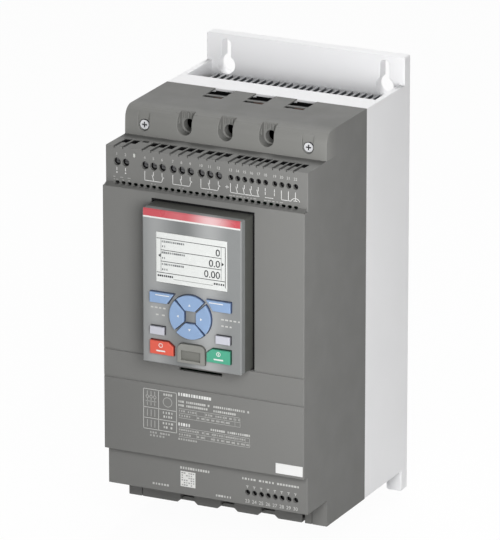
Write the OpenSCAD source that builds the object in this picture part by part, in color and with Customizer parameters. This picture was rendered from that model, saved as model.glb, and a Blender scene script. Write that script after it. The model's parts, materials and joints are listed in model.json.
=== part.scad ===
// Soft starter for wall mounting: chassis with heat sink, power section, control terminals
// and a pull-out keypad. Millimetres. Origin at the centre of the back mounting face, up is +Z,
// the front faces -Y and +X is to the right of someone facing it.

/* [Overall] */
// Width of the whole unit
body_w = 150; // [146:1:156]
// Height of the back plate, fixing flanges included
plate_h = 314; // [312:1:322]
// Depth from the back face to the keypad's face
face_d = 186; // [184:1:192]
// Height of the bottom edge of the body, from the centre of the plate
body_low = -142; // [-145:0.5:-140]

/* [Chassis] */
// Thickness of the back plate
plate_t = 9.5; // [8:0.5:11]
// Depth of the chassis from the back face to the housing
sink_d = 71; // [69:0.5:74]
// Thickness of the chassis side walls
wall_t = 4; // [3:0.5:5]
// Height of the top of the chassis bar, from the centre of the plate
sink_top = 137.5; // [136:0.5:139]
// Depth of the bar along the top of the chassis
bar_d = 22; // [20:0.5:24]
// Radius of the round part of each keyhole
key_r = 6.5; // [6:0.25:7]
// Width of the slot of each keyhole and foot slot
slot_w = 6.8; // [6:0.2:7.4]
// Spacing of the two fixing holes across the unit
fix_x = 120; // [116:1:122]
// Spacing of the seats of the upper and lower fixing slots
fix_z = 300; // [298:1:302]

/* [Heat sink and fans] */
// Number of gaps between the fins
gap_n = 28; // [24:2:30]
// Thickness of one fin
fin_t = 2; // [1.6:0.2:2.4]
// Drop of the fins under the top of the chassis bar
fin_drop = 9; // [7:0.5:11]
// Side of a fan frame
fan_w = 50; // [46:1:54]
// Thickness of a fan frame
fan_t = 20; // [16:1:24]
// Blades on one rotor
blade_n = 7; // [5:1:9]

/* [Housing] */
// Wall thickness of the plastic covers
skin = 2.6; // [2.2:0.1:3]
// Depth from the back face to the joint between housing and front covers
house_d = 132; // [130:0.5:134]
// Edge radius of the line terminal cover
edge_r = 8.5; // [6:0.5:10]
// Height of the control ledge, from the centre of the plate
ledge_z = 118; // [116.5:0.5:119]
// Height of the vent line under the control terminals
vent_z = 91; // [90:0.5:92.5]
// Height of the joint between upper and lower front cover
joint_z = -44; // [-46:0.5:-42]
// Height of the step at the top of the lower terminal strip
step_z = -96; // [-98:0.5:-94]
// Height of the bottom of the lower terminal strip
strip_z = -123; // [-124:0.5:-122]

/* [Terminals] */
// Spacing of the three phases
phase_p = 30.5; // [29:0.5:31.5]
// Pitch of the large control terminals
big_p = 6.45; // [6.2:0.05:6.6]
// Pitch of the small control terminals
small_p = 5.13; // [5:0.01:5.2]
// Radius of the large screwdriver holes
big_r = 2.65; // [2.4:0.05:2.8]
// Radius of the small screwdriver holes
small_r = 1.85; // [1.6:0.05:2]
// Vent openings in the row under the control terminals
vent_n = 30; // [24:1:31]

/* [Keypad] */
// Width of the keypad
pad_w = 73.6; // [71:0.2:75]
// Height of the keypad
pad_h = 108; // [106:0.5:109]
// Amount the keypad stands out of the front cover
pad_out = 17; // [15:0.5:19]
// Height of the lower edge of the keypad
pad_low = -22.7; // [-23:0.1:-22]
// Amount the keys stand out of the keypad's face
key_out = 2.4; // [2:0.1:2.8]
// Radius of the ring of arrow keys
ring_r = 15.4; // [14.6:0.1:15.8]
// Gap around each key
key_gap = 0.4; // [0.3:0.05:0.5]

/* [Hidden] */
$fn = 48;
hw = body_w / 2;
plate_z = plate_h / 2;
seat_z = fix_z / 2;
key_z = seat_z - 15;
inner_x = hw - wall_t;
cover_d = face_d - pad_out;
ctrl_d = cover_d - 5;
strip_d = cover_d - 6;
ease = 0.3;
in_x = hw - skin;
phases = [-phase_p, 0, phase_p];
// Heat sink levels
base_front = sink_d - bar_d - ease;
base_t = 12;
fin_root = base_front - base_t;
fin_tip = plate_t + ease;
fin_low = -92;
fin_top = sink_top - fin_drop;
fin_p = 2 * inner_x / gap_n;
// Fans
tray_t = 1.5;
rail_t = 3;
fan_y = -(sink_d - rail_t + plate_t) / 2;
fan_x = 34;
fan_low = body_low + tray_t + 0.1;
fan_hole = fan_w / 2 - 5;
// Power section
module_z = 10;
module_front = base_front + 27.5;
bar_t = 2.5;
bar_w = 14;
sheet_t = 0.4;
clamp_back = sink_d + sheet_t + 0.1;
clamp_front = sink_d + 27;
clamp_wall = 2.5;
tunnel_front = sink_d + 16;
clamp_h = 19.5;
clamp_top = sink_top - 4;
clamp_low = body_low + 6;
access_z = ledge_z + 9.5;
screw_z = ledge_z + 7.5;
screw_x = hw - 14;
groove_d = skin - 0.6;
// Keypad
pad_x = pad_w / 2;
pad_top = pad_low + pad_h;
pad_back = cover_d - 9;
pad_skin = 2.2;
face_in = face_d - 2.5;
pocket_x = pad_x + 1.3;
pocket_low = pad_low - 1.6;
pocket_top = pad_top + 1.6;
pocket_d = pad_back - ease;
key_top = face_d + key_out;
flange_f = face_in - ease;
flange_t = 0.8;
ring_z = pad_low + 36.3;
key_x = -0.6;
lcd_x = 26.3;
lcd_low = pad_low + 57.6;
lcd_top = lcd_low + 35;
flap_x = 10.2;
flap_low = pad_low + 3.6;
flap_top = pad_low + 17;
flap_front = face_d + 1.8;
board_d = face_in - 3.2;
split_d = face_d - 5.5;
// Control section: boards and terminals between the bulkhead and the front covers
bay_d = pocket_d - skin - house_d;
pcb_d = house_d + 0.26 * bay_d;
pcb_t = 1.6;
room_d = pocket_d - skin - pcb_d;
ledge_d = ctrl_d - house_d;
strip_t = strip_d - house_d;
term_face = ctrl_d - skin - 0.2;
low_face = strip_d - skin - 0.2;
term_t = term_face - pcb_d;
entry_back = term_face - 0.75 * term_t;
entry_front = term_face - 0.33 * term_t;
entry_top = ledge_z - 1.2;
vent_p = (body_w - 17.5) / (vent_n - 1);
term_z = ledge_z - 10.8;
low_term_z = strip_z + 9;
row_x = hw - skin - ease;
row_spare = 2 * row_x - 11 * big_p - 10 * small_p;
supply_0 = -row_x + big_p / 2 + 0.108 * row_spare;
relay_0 = supply_0 + 2 * big_p + 0.3645 * row_spare;
relay_step = 3 * big_p + 0.0706 * row_spare;
signal_0 = relay_0 + 2 * relay_step + 2.5 * big_p + small_p / 2 + 0.1464 * row_spare;
signal_1 = signal_0 + 6 * small_p + 0.0738 * row_spare;
supply_x = [for (i = [0:1]) supply_0 + big_p * i];
relay_x = [for (g = [0:2]) for (i = [0:2]) relay_0 + relay_step * g + big_p * i];
signal_x = concat([for (i = [0:5]) signal_0 + small_p * i], [for (i = [0:3]) signal_1 + small_p * i]);
lower_x = [for (i = [0:7]) hw - 44.9 + small_p * i];
light_x = supply_0 + 1.5 * big_p + 0.156 * row_spare;

// Outline helpers
function polar(r, a) = [r * cos(a), r * sin(a)];
function arc(x, y, r, a0, a1, n = 6) = [for (i = [0:n]) [x, y] + polar(r, a0 + (a1 - a0) * i / n)];
function rounded(x0, x1, y0, y1, r, n = 4) = concat(
    arc(x1 - r, y1 - r, r, 0, 90, n), arc(x0 + r, y1 - r, r, 90, 180, n),
    arc(x0 + r, y0 + r, r, 180, 270, n), arc(x1 - r, y0 + r, r, 270, 360, n));
function u_up(x, z, r, top) = concat(arc(x, z, r, 180, 360, 12), [[x + r, top], [x - r, top]]);
function u_down(x, z, r, low, flare) = concat(arc(x, z, r, 0, 180, 12), [[x - r, low + flare], [x - r - flare, low],
    [x - r - flare, low - 1], [x + r + flare, low - 1], [x + r + flare, low], [x + r, low + flare]]);
function mirrored(pts) = [for (i = [len(pts) - 1:-1:0]) [-pts[i][0], pts[i][1]]];

// Extrudes an outline drawn in Y and Z along X
module along_x(x0, x1) {
    translate([x0, 0, 0])
        rotate([90, 0, 90])
            linear_extrude(height = x1 - x0)
                children();
}

// Extrudes an outline drawn in X and Z along Y, from depth d1 out to depth d2 in front of the back face
module along_y(d1, d2) {
    translate([0, -d1, 0])
        rotate([90, 0, 0])
            linear_extrude(height = d2 - d1)
                children();
}

// Extrudes an outline drawn in X and Y along Z
module along_z(z0, z1) {
    translate([0, 0, z0])
        linear_extrude(height = z1 - z0)
            children();
}

// A box from its limits, with depths counted from the back face
module block(x0, x1, d1, d2, z0, z1) {
    translate([x0, -d2, z0])
        cube([x1 - x0, d2 - d1, z1 - z0]);
}

// A round bar or bore along Y, with depths counted from the back face
module rod(x, z, r, d1, d2) {
    translate([x, -d1, z])
        rotate([90, 0, 0])
            cylinder(r = r, h = d2 - d1);
}

// A screw along Y with its head to the front and a cross recess
module screw(x, z, head_r, head_t, shank_r, d1, d2) {
    difference() {
        union() {
            rod(x, z, shank_r, d1, d2 - head_t);
            rod(x, z, head_r, d2 - head_t, d2);
        }
        for (r = [[0.6, 0.16], [0.16, 0.6]] * head_r)
            block(x - r[0], x + r[0], d2 - head_t * 0.7, d2 + 1, z - r[1], z + r[1]);
    }
}

// Chassis: back plate with keyholes and foot slots, side walls, top bar and lower rail
module foot_slot(x) {
    s = slot_w / 2;
    mouth = 2;
    z = -plate_z + mouth;
    along_y(-1, plate_t + 1)
        translate([x, 0])
            polygon(concat([[-s - mouth, -plate_z - 1]], arc(-s - mouth, z, mouth, -90, 0),
                [[-s, -seat_z], [s, -seat_z]],
                arc(s + mouth, z, mouth, 180, 270), [[s + mouth, -plate_z - 1]]));
    rod(x, -seat_z, s, -1, plate_t + 1);
}

module chassis() {
    color([0.85, 0.85, 0.86])
        difference() {
            union() {
                along_y(0, plate_t)
                    polygon(rounded(-hw, hw, -plate_z, plate_z, 1.5));
                for (s = [-1, 1])
                    block(min(s * hw, s * inner_x), max(s * hw, s * inner_x), plate_t, sink_d, body_low, sink_top);
                block(-inner_x, inner_x, sink_d - bar_d, sink_d, sink_top - 26, sink_top);
                block(-inner_x, inner_x, sink_d - rail_t, sink_d, body_low, fin_low - 4);
            }
            for (s = [-1, 1]) {
                rod(s * fix_x / 2, key_z, key_r, -1, plate_t + 1);
                rod(s * fix_x / 2, seat_z, slot_w / 2, -1, plate_t + 1);
                block(s * fix_x / 2 - slot_w / 2, s * fix_x / 2 + slot_w / 2, -1, plate_t + 1, key_z, seat_z);
                foot_slot(s * fix_x / 2);
            }
        }
}

// Heat sink: one extruded comb, base to the front and fin tips on the back plate
module_hole_z = [module_z - 40, module_z + 40];

module heat_sink() {
    x = inner_x - ease;
    fins = [for (i = [1:gap_n - 1]) for (p = [[-fin_t / 2, -fin_root], [-fin_t / 2, -fin_tip], [fin_t / 2, -fin_tip],
        [fin_t / 2, -fin_root]]) [-inner_x + fin_p * i + p[0], p[1]]];
    color([0.72, 0.73, 0.75])
        difference() {
            along_z(fin_low, fin_top)
                polygon(concat([[-x, -base_front], [-x, -fin_root]], fins, [[x, -fin_root], [x, -base_front]]));
            for (p = phases)
                for (z = module_hole_z)
                    rod(p, z, 2.6, base_front - 9, base_front + 1);
        }
}

// Insulating sheet between the chassis frame and the cable clamps, with a window for the modules
module insulating_sheet() {
    x = in_x - ease;
    color([0.09, 0.09, 0.1])
        difference() {
            union() {
                block(-x, x, sink_d, sink_d + sheet_t, body_low + skin + 0.2, sink_top - skin - 0.2);
                for (p = phases)
                    block(p - 7.2, p + 7.2, sink_d, sink_d + sheet_t, sink_top - 12, sink_top - 1.8);
            }
            block(-phase_p - 16, phase_p + 16, sink_d - 1, sink_d + sheet_t + 1, fin_low - 2, sink_top - 28);
        }
}

// Fan tray with two guarded air inlets
module guard(x) {
    difference() {
        translate([x, fan_y, body_low - 1])
            cylinder(r = fan_w / 2 - 1.8, h = tray_t + 2);
        for (r = [6, 13])
            translate([x, fan_y, body_low - 2])
                difference() {
                    cylinder(r = r + 1, h = tray_t + 4);
                    translate([0, 0, -1])
                        cylinder(r = r - 1, h = tray_t + 6);
                }
        block(x - fan_w / 2, x + fan_w / 2, -fan_y - 1.2, -fan_y + 1.2, body_low - 2, body_low + tray_t + 2);
        block(x - 1.2, x + 1.2, -fan_y - fan_w / 2, -fan_y + fan_w / 2, body_low - 2, body_low + tray_t + 2);
    }
}

module fan_holes(x, r, z0, z1) {
    for (i = [-1, 1])
        for (j = [-1, 1])
            translate([x + i * fan_hole, fan_y + j * fan_hole, z0])
                cylinder(r = r, h = z1 - z0);
}

module fan_tray() {
    x = inner_x - ease;
    d1 = plate_t + ease;
    d2 = sink_d - rail_t - ease;
    color([0.62, 0.64, 0.66])
        difference() {
            union() {
                block(-x, x, d1, d2, body_low, body_low + tray_t);
                for (s = [-1, 1])
                    block(min(s * x, s * (x - tray_t)), max(s * x, s * (x - tray_t)), d1, d2, body_low, body_low + 12);
            }
            for (s = [-1, 1]) {
                guard(s * fan_x);
                fan_holes(s * fan_x, 1.7, body_low - 1, body_low + tray_t + 1);
            }
        }
}

// Fan frames, with the motor plate and its struts at the inlet side
module fan_frame(x) {
    color([0.1, 0.1, 0.11])
        difference() {
            union() {
                difference() {
                    along_z(fan_low, fan_low + fan_t)
                        translate([x, fan_y])
                            polygon(rounded(-fan_w / 2, fan_w / 2, -fan_w / 2, fan_w / 2, 3));
                    translate([x, fan_y, fan_low - 1])
                        cylinder(r = fan_w / 2 - 1.5, h = fan_t + 2);
                }
                translate([x, fan_y, fan_low])
                    cylinder(r = 11, h = 2.5);
                for (a = [0:120:240])
                    translate([x, fan_y, fan_low])
                        rotate([0, 0, a + 30])
                            translate([8, -1.2, 0])
                                cube([fan_w / 2 - 9, 2.4, 2.5]);
            }
            fan_holes(x, 2.1, fan_low - 1, fan_low + fan_t + 1);
        }
}

module fan_frame_left() {
    fan_frame(-fan_x);
}

module fan_frame_right() {
    fan_frame(fan_x);
}

// Fan rotors: hub with pitched blades
module fan_rotor(x) {
    z0 = fan_low + 3.2;
    h = fan_t - 4.4;
    tip = fan_w / 2 - 2.3;
    color([0.16, 0.16, 0.17])
        translate([x, fan_y, z0]) {
            cylinder(r = 11.5, h = h);
            intersection() {
                cylinder(r = tip, h = h);
                for (i = [0:blade_n - 1])
                    rotate([0, 0, i * 360 / blade_n])
                        translate([10, 0, h / 2])
                            rotate([40, 0, 0])
                                translate([0, -0.6, -h])
                                    cube([tip, 1.2, 2 * h]);
            }
        }
}

module fan_rotor_left() {
    fan_rotor(-fan_x);
}

module fan_rotor_right() {
    fan_rotor(fan_x);
}

// Screws that hold the fan frames on the tray
module fan_screws() {
    color([0.75, 0.76, 0.78])
        for (s = [-1, 1])
            for (i = [-1, 1])
                for (j = [-1, 1])
                    translate([s * fan_x + i * fan_hole, fan_y + j * fan_hole, fan_low - tray_t - 0.1]) {
                        cylinder(r = 1.35, h = fan_t * 0.6);
                        translate([0, 0, fan_t + tray_t + 0.1])
                            cylinder(r = 3, h = 1.8);
                        translate([0, 0, fan_t * 0.5])
                            cylinder(r = 1.35, h = fan_t * 0.5 + tray_t + 0.2);
                    }
}

// Rear housing: side walls, bulkhead between power and control section, corner posts and stand-offs
left_post = hw - 9.7;
right_post = hw - 11.2;

module housing() {
    color([0.43, 0.43, 0.42])
        difference() {
            union() {
                block(-hw, -in_x, sink_d, house_d, body_low, ledge_z);
                block(in_x, hw, sink_d, house_d, body_low, ledge_z);
                block(-in_x, in_x, house_d - skin, house_d, strip_z, ledge_z - 4);
                block(-in_x, -left_post, house_d - skin, house_d, body_low, strip_z);
                block(right_post, in_x, house_d - skin, house_d, body_low, strip_z);
                for (s = [-1, 1])
                    block(min(s * in_x, s * (hw - 19)), max(s * in_x, s * (hw - 19)),
                        house_d - 24, house_d - skin, ledge_z - 16,
                        ledge_z + 13);
                for (x = [-in_x + 10.4, in_x - 10.4])
                    for (z = [-80, 10, 88])
                        rod(x, z, 3, house_d, pcb_d - pcb_t);
                for (x = [-50, 50])
                    for (z = [-22, 82])
                        rod(x, z, 3, house_d - 5, house_d - skin);
            }
            for (s = [-1, 1])
                rod(s * screw_x, screw_z, 1.9, house_d - 20, house_d + 1);
            block(-40, -16, house_d - skin - 1, house_d + 1, 90, 104);
            block(16, 40, house_d - skin - 1, house_d + 1, -112, -98);
        }
}

// Line terminal cover: rounded hood with cable cut-outs, screwdriver pockets and screw grooves
module hood(top, front, r, low) {
    polygon(concat([[-sink_d, low], [-sink_d, top]], arc(-front + r, top - r, r, 90, 180), [[-front, low]]));
}

module line_cover() {
    front = house_d + 3;
    pocket = 5.3;
    groove = 4.1;
    color([0.44, 0.44, 0.43]) {
        for (p = phases)
            for (i = [-1:1])
                block(p + i * 2.6 - 0.5, p + i * 2.6 + 0.5, front - 8, front - 6.3,
                    access_z + 4.9, sink_top - 1.2);
        difference() {
            union() {
                difference() {
                    along_x(-hw, hw)
                        hood(sink_top, front, edge_r, ledge_z);
                    along_x(-in_x, in_x)
                        hood(sink_top - skin, front - skin, edge_r - skin, ledge_z - 1);
                    block(-in_x, in_x, sink_d - 1, sink_d + 4, ledge_z - 1, sink_top - skin);
                }
                for (p = phases)
                    block(p - 8, p + 8, front - 14, front - 4, ledge_z + 0.5, sink_top - 1);
                for (p = phases)
                    block(p - 8, p + 8, front - 5, front - 1, ledge_z + 0.5, sink_top - edge_r);
                for (s = [-1, 1])
                    block(s * screw_x - 6, s * screw_x + 6, front - 5.3, front - 1, ledge_z + 0.5, sink_top - edge_r);
            }
            for (p = phases) {
                block(p - 7.5, p + 7.5, sink_d - 1, sink_d + 15, sink_top - skin - 1, sink_top + 1);
                block(p - 7.3, p + 7.3, sink_d + 17.4, sink_d + 21.8, sink_top - skin - 1, sink_top + 1);
                block(p - 11, p + 11, sink_d - 2, sink_d + 25, sink_top - skin - 1, sink_top - 0.8);
                along_y(front - 7.6, front + 1)
                    polygon(u_up(p, access_z, pocket, sink_top + 1));
                rod(p, access_z, 4.2, front - 15, front - 7);
            }
            for (s = [-1, 1]) {
                along_y(front - groove_d, front + 1)
                    polygon(u_up(s * screw_x, screw_z, groove, sink_top + 1));
                rod(s * screw_x, screw_z, 3.95, front - groove_d - 1.5, front - groove_d + 0.5);
                rod(s * screw_x, screw_z, 2.2, front - 6, front - 2);
            }
        }
    }
}

// Load terminal cover: floor with cable cut-outs and front wall with screwdriver pockets
module load_cover() {
    front = house_d;
    x0 = -left_post + 0.5;
    x1 = right_post - ease;
    pocket = 5.3;
    notch = 3.6;
    color([0.44, 0.44, 0.43])
        difference() {
            union() {
                block(-in_x + ease, in_x - ease, sink_d + ease, front - skin - ease, body_low, body_low + skin);
                block(x0, x1, front - 8, front, body_low, body_low + skin);
                block(x0, x1, front - skin, front, body_low, strip_z - 0.2);
                for (p = phases)
                    block(p - 8, p + 8, front - 14, front - 1, body_low + notch, strip_z - 0.2);
            }
            for (p = phases) {
                block(p - 7.5, p + 7.5, sink_d - 1, sink_d + 15, body_low - 1, body_low + skin + 1);
                along_y(front - 6, front + 1)
                    polygon(u_down(p, load_screw_z, pocket, body_low, 2.4));
                rod(p, load_screw_z, 4.2, front - 15, front - 5);
            }
            block(right_post - 7.6, right_post - 5.5, front - 6, front + 1, body_low - 1, body_low + 9);
        }
}

// Front cover: control terminal ledge, vents, keypad pocket and joint lines
corner_r = 0.8;

module front_outline(depth, r) {
    polygon(concat([[hw, -house_d], [-hw, -house_d]], arc(-hw + r, -depth + r, r, 180, 270, 3),
        arc(hw - r, -depth + r, r, 270, 360, 3)));
}

// Wire slots in the ledge, each with a fine groove from its left edge to the front
module wire_slots(xs, w) {
    slot_front = house_d + 0.7 * ledge_d;
    for (x = xs) {
        block(x - w / 2, x + w / 2, house_d + 0.42 * ledge_d, slot_front, ledge_z - skin - 1, ledge_z + 1);
        block(x - w / 2 + 0.15, x - w / 2 + 0.85, slot_front - 0.4, ctrl_d + 1, ledge_z - 1.2, ledge_z + 1);
    }
}

// Room under the ledge for the raised wire entries of one terminal block
module entry_room(xs, pitch) {
    block(xs[0] - pitch / 2 - ease, xs[len(xs) - 1] + pitch / 2 + ease, entry_back - ease, entry_front + ease,
        ledge_z - skin - 1, entry_top + 0.4);
}

module front_cover() {
    line = 0.45;
    color([0.5, 0.5, 0.49])
        difference() {
            union() {
                difference() {
                    union() {
                        along_z(joint_z, vent_z)
                            front_outline(cover_d, corner_r);
                        along_z(vent_z - 1, ledge_z)
                            front_outline(ctrl_d, corner_r);
                        along_x(-hw + corner_r, hw - corner_r)
                            polygon([[-ctrl_d + 1, vent_z - 0.5], [-cover_d, vent_z - 0.5], [-cover_d, vent_z],
                                [-ctrl_d, vent_z + 2],
                                [-ctrl_d + 1, vent_z + 2]]);
                    }
                    block(-in_x, in_x, house_d - 1, ctrl_d - skin, joint_z - 1, ledge_z - skin);
                    block(-in_x, in_x, house_d - 1, cover_d - skin, joint_z - 1, vent_z - 2.4);
                    block(-in_x, in_x, house_d - 1, cover_d - 3.4, vent_z - 3, vent_z + 0.6);
                    block(-in_x, in_x, house_d - 1, ctrl_d - 1, vent_z, vent_z + 3.6);
                }
                block(-pocket_x - skin, pocket_x + skin, pocket_d - skin, cover_d - 1, pocket_low - skin, vent_z - 1);
            }
            block(-pocket_x, pocket_x, pocket_d, cover_d + 1, pocket_low, pocket_top);
            for (x = concat(supply_x, relay_x))
                rod(x, term_z, big_r, ctrl_d - skin - 1, ctrl_d + 1);
            for (x = signal_x)
                rod(x, term_z, small_r, ctrl_d - skin - 1, ctrl_d + 1);
            entry_room(supply_x, big_p);
            entry_room(relay_x, big_p);
            entry_room(signal_x, small_p);
            wire_slots(concat(supply_x, relay_x), big_p - 1.15);
            wire_slots(signal_x, small_p - 0.93);
            block(light_x - 2.2, light_x + 2.2, house_d + 0.41 * ledge_d, house_d + 0.51 * ledge_d,
                ledge_z - skin - 1, ledge_z + 1);
            for (i = [0:vent_n - 1])
                along_y(ctrl_d - skin - 1, cover_d + 1)
                    translate([(i - (vent_n - 1) / 2) * vent_p, vent_z + 1.8])
                        polygon(concat(arc(0.7, 0, 1, -90, 90), arc(-0.7, 0, 1, 90, 270)));
            block(light_x - 0.9, light_x + 0.9, ctrl_d - skin - 1, ctrl_d + 1, term_z + 4.4, term_z + 7.4);
            block(-18, 14, cover_d - skin - 1, cover_d + 1, pocket_low - 7.4, pocket_low - 5.4);
            block(-hw - 1, hw + 1, cover_d - 0.6, cover_d + 1, pocket_low - line, pocket_low + line);
            block(-hw - 1, hw + 1, cover_d - 0.6, cover_d + 1, joint_z - 1, joint_z + line);
        }
}

// Lower front cover with the second row of terminals
module lower_cover() {
    line = 0.45;
    color([0.5, 0.5, 0.49])
        difference() {
            union() {
                along_z(step_z, joint_z)
                    front_outline(cover_d, corner_r);
                along_z(strip_z, step_z + 1)
                    front_outline(strip_d, corner_r);
            }
            block(-in_x, in_x, house_d - 1, cover_d - skin, step_z + skin, joint_z + 1);
            block(-in_x, in_x, house_d - 1, strip_d - skin, strip_z + skin, joint_z + 1);
            for (x = lower_x) {
                rod(x, low_term_z, small_r, strip_d - skin - 1, strip_d + 1);
                block(x - 1.7, x + 1.7, house_d + 0.32 * strip_t, house_d + 0.68 * strip_t,
                    strip_z - 1, strip_z + skin + 1);
            }
            block(-hw - 1, hw + 1, cover_d - 0.6, cover_d + 1, joint_z - line, joint_z + 1);
        }
}

// Blank identification field on the lower cover
module id_label() {
    color([0.94, 0.94, 0.94])
        block(hw - 20.8, hw - corner_r, cover_d, cover_d + 0.5, step_z + 2, step_z + 9.2);
}

// Screws of the line terminal cover
module cover_screws() {
    color([0.82, 0.83, 0.85])
        for (s = [-1, 1])
            screw(s * screw_x, screw_z, 3.25, 2, 1.6, house_d - 14, house_d + 3.55 - groove_d);
}

// Thyristor modules: base plate, moulded body and terminal pads
module thyristor(p) {
    color([0.2, 0.2, 0.22])
        difference() {
            union() {
                block(p - 13, p + 13, base_front, base_front + 3, module_z - 46, module_z + 46);
                block(p - 12, p + 12, base_front + 3, module_front - 4, module_z - 33, module_z + 33);
                block(p - 9, p + 9, module_front - 4, module_front, module_z + 10, module_z + 31);
                block(p - 9, p + 9, module_front - 4, module_front, module_z - 31, module_z - 10);
            }
            for (z = module_hole_z)
                rod(p, z, 2.9, base_front - 1, base_front + 4);
        }
}

module thyristor_1() {
    thyristor(phases[0]);
}

module thyristor_2() {
    thyristor(phases[1]);
}

module thyristor_3() {
    thyristor(phases[2]);
}

// Screws that hold the thyristor modules on the heat sink
module module_screws() {
    color([0.78, 0.79, 0.8])
        for (p = phases)
            for (z = module_hole_z)
                screw(p, z, 4.2, 3, 2.3, base_front - 8, base_front + 6);
}

// Copper bars from each module to its cable clamp, with one joggle
module bar(p, dir, z_pad, z_end) {
    f = module_front;
    c = clamp_back + clamp_wall;
    knee = z_pad + dir * 44;
    color([0.78, 0.48, 0.3])
        along_x(p - bar_w / 2, p + bar_w / 2)
            polygon([[-f, z_pad], [-f, knee], [-c, knee + dir * 4], [-c, z_end], [-c - bar_t, z_end],
                [-c - bar_t, knee + dir * 5], [-f - bar_t, knee + dir * 1], [-f - bar_t, z_pad]]);
}

module line_bar(p) {
    bar(p, 1, module_z + 12, clamp_top - 1);
}

module load_bar(p) {
    bar(p, -1, module_z - 12, clamp_low + 1);
}

module line_bar_1() {
    line_bar(phases[0]);
}

module line_bar_2() {
    line_bar(phases[1]);
}

module line_bar_3() {
    line_bar(phases[2]);
}

module load_bar_1() {
    load_bar(phases[0]);
}

module load_bar_2() {
    load_bar(phases[1]);
}

module load_bar_3() {
    load_bar(phases[2]);
}

// Cable clamps: a tunnel for the cable and a threaded front wall
module clamp(p, z0, z_screw) {
    color([0.7, 0.71, 0.74])
        difference() {
            block(p - 10, p + 10, clamp_back, clamp_front, z0, z0 + clamp_h);
            block(p - 7.6, p + 7.6, clamp_back + clamp_wall, tunnel_front, z0 - 1, z0 + clamp_h + 1);
            rod(p, z_screw, 3.2, tunnel_front - 1, clamp_front + 1);
        }
}

line_screw_z = access_z;
load_screw_z = body_low + 12.5;

module line_clamp(p) {
    clamp(p, clamp_top - clamp_h, line_screw_z);
}

module load_clamp(p) {
    clamp(p, clamp_low, load_screw_z);
}

module line_clamp_1() {
    line_clamp(phases[0]);
}

module line_clamp_2() {
    line_clamp(phases[1]);
}

module line_clamp_3() {
    line_clamp(phases[2]);
}

module load_clamp_1() {
    load_clamp(phases[0]);
}

module load_clamp_2() {
    load_clamp(phases[1]);
}

module load_clamp_3() {
    load_clamp(phases[2]);
}

// Clamping screws of the six cable clamps
module clamp_screws() {
    color([0.72, 0.73, 0.76])
        for (p = phases)
            for (z = [line_screw_z, load_screw_z])
                screw(p, z, 3.9, 3, 2.9, tunnel_front + 0.5, clamp_front + 3.2);
}

// Current sensor block, threaded by the three load bars
module current_sensor() {
    c = clamp_back + clamp_wall;
    color([0.12, 0.14, 0.18])
        difference() {
            block(-phase_p - 14, phase_p + 14, clamp_back, sink_d + 20, fin_low - 20, fin_low - 5);
            for (p = phases)
                block(p - bar_w / 2 - 0.4, p + bar_w / 2 + 0.4, c - 0.4, c + bar_t + 0.4, fin_low - 21, fin_low - 4);
        }
}

// Bypass contactor on the bulkhead
module bypass_contactor() {
    d = house_d - skin;
    back = module_front + bar_t + 12;
    color([0.16, 0.17, 0.18]) {
        block(-40, 40, back + 5, d - 0.2, -90, -38);
        block(-36, 36, back, back + 6, -80, -48);
    }
}

// Firing board behind the bulkhead
module power_board() {
    d = house_d - 5;
    color([0.1, 0.33, 0.2])
        union() {
            block(-in_x + 14.4, in_x - 14.4, d - pcb_t, d, -30, 90);
            for (p = phases)
                block(p - 8, p + 8, d - pcb_t - 12, d - pcb_t, 40, 62);
            block(-50, -30, d - pcb_t - 9, d - pcb_t, -20, 0);
            block(30, 50, d - pcb_t - 9, d - pcb_t, -20, 0);
        }
}

// Control board in front of the bulkhead
module control_board() {
    color([0.09, 0.31, 0.19])
        union() {
            block(-in_x + 2, in_x - 2, pcb_d - pcb_t, pcb_d, strip_z + skin + 2, ledge_z - skin - 2);
            block(-20, 20, pcb_d - 0.5, pcb_d + 0.16 * room_d, -4, 24);
            block(-in_x + 12.4, -in_x + 28.4, pcb_d - 0.5, pcb_d + 0.65 * room_d, 40, 72);
            block(in_x - 28.4, in_x - 10.4, pcb_d - 0.5, pcb_d + 0.48 * room_d, -10, 30);
            block(-14, 14, pcb_d - 0.5, pcb_d + 0.65 * room_d, 58, 72);
            block(-in_x + 12.4, -in_x + 24.4, pcb_d - 0.5, pcb_d + 0.75 * room_d, -70, -40);
        }
}

// Control terminal blocks: wires from above or below, screws from the front
module terminal_block(xs, pitch, z, dir, depth, r, w) {
    first = xs[0];
    last = xs[len(xs) - 1];
    t = depth - pcb_d;
    z0 = dir > 0 ? z - 8 : z - 5.6;
    z1 = dir > 0 ? z + 5.6 : z + 8;
    color([0.13, 0.13, 0.14])
        difference() {
            union() {
                block(first - pitch / 2, last + pitch / 2, pcb_d, depth, z0, z1);
                if (dir > 0)
                    block(first - pitch / 2, last + pitch / 2, entry_back, entry_front, z1 - 1, entry_top);
            }
            for (x = xs) {
                if (dir > 0)
                    block(x - w / 2 - 0.2, x + w / 2 + 0.2, depth - 0.66 * t, depth - 0.42 * t, z1 - 1, entry_top + 1);
                rod(x, z, r, depth - 0.53 * t, depth + 1);
                block(x - w / 2, x + w / 2, depth - 0.85 * t, depth - 0.55 * t, dir > 0 ? z - 4 : z0 - 1,
                    dir > 0 ? z1 + 1 : z + 4);
            }
        }
}

module terminal_block_supply() {
    terminal_block(supply_x, big_p, term_z, 1, term_face, 2.4, 3.6);
}

module terminal_block_relays() {
    terminal_block(relay_x, big_p, term_z, 1, term_face, 2.4, 3.6);
}

module terminal_block_signals() {
    terminal_block(signal_x, small_p, term_z, 1, term_face, 1.75, 3.2);
}

module terminal_block_lower() {
    terminal_block(lower_x, small_p, low_term_z, -1, low_face, 1.75, 3.2);
}

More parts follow.
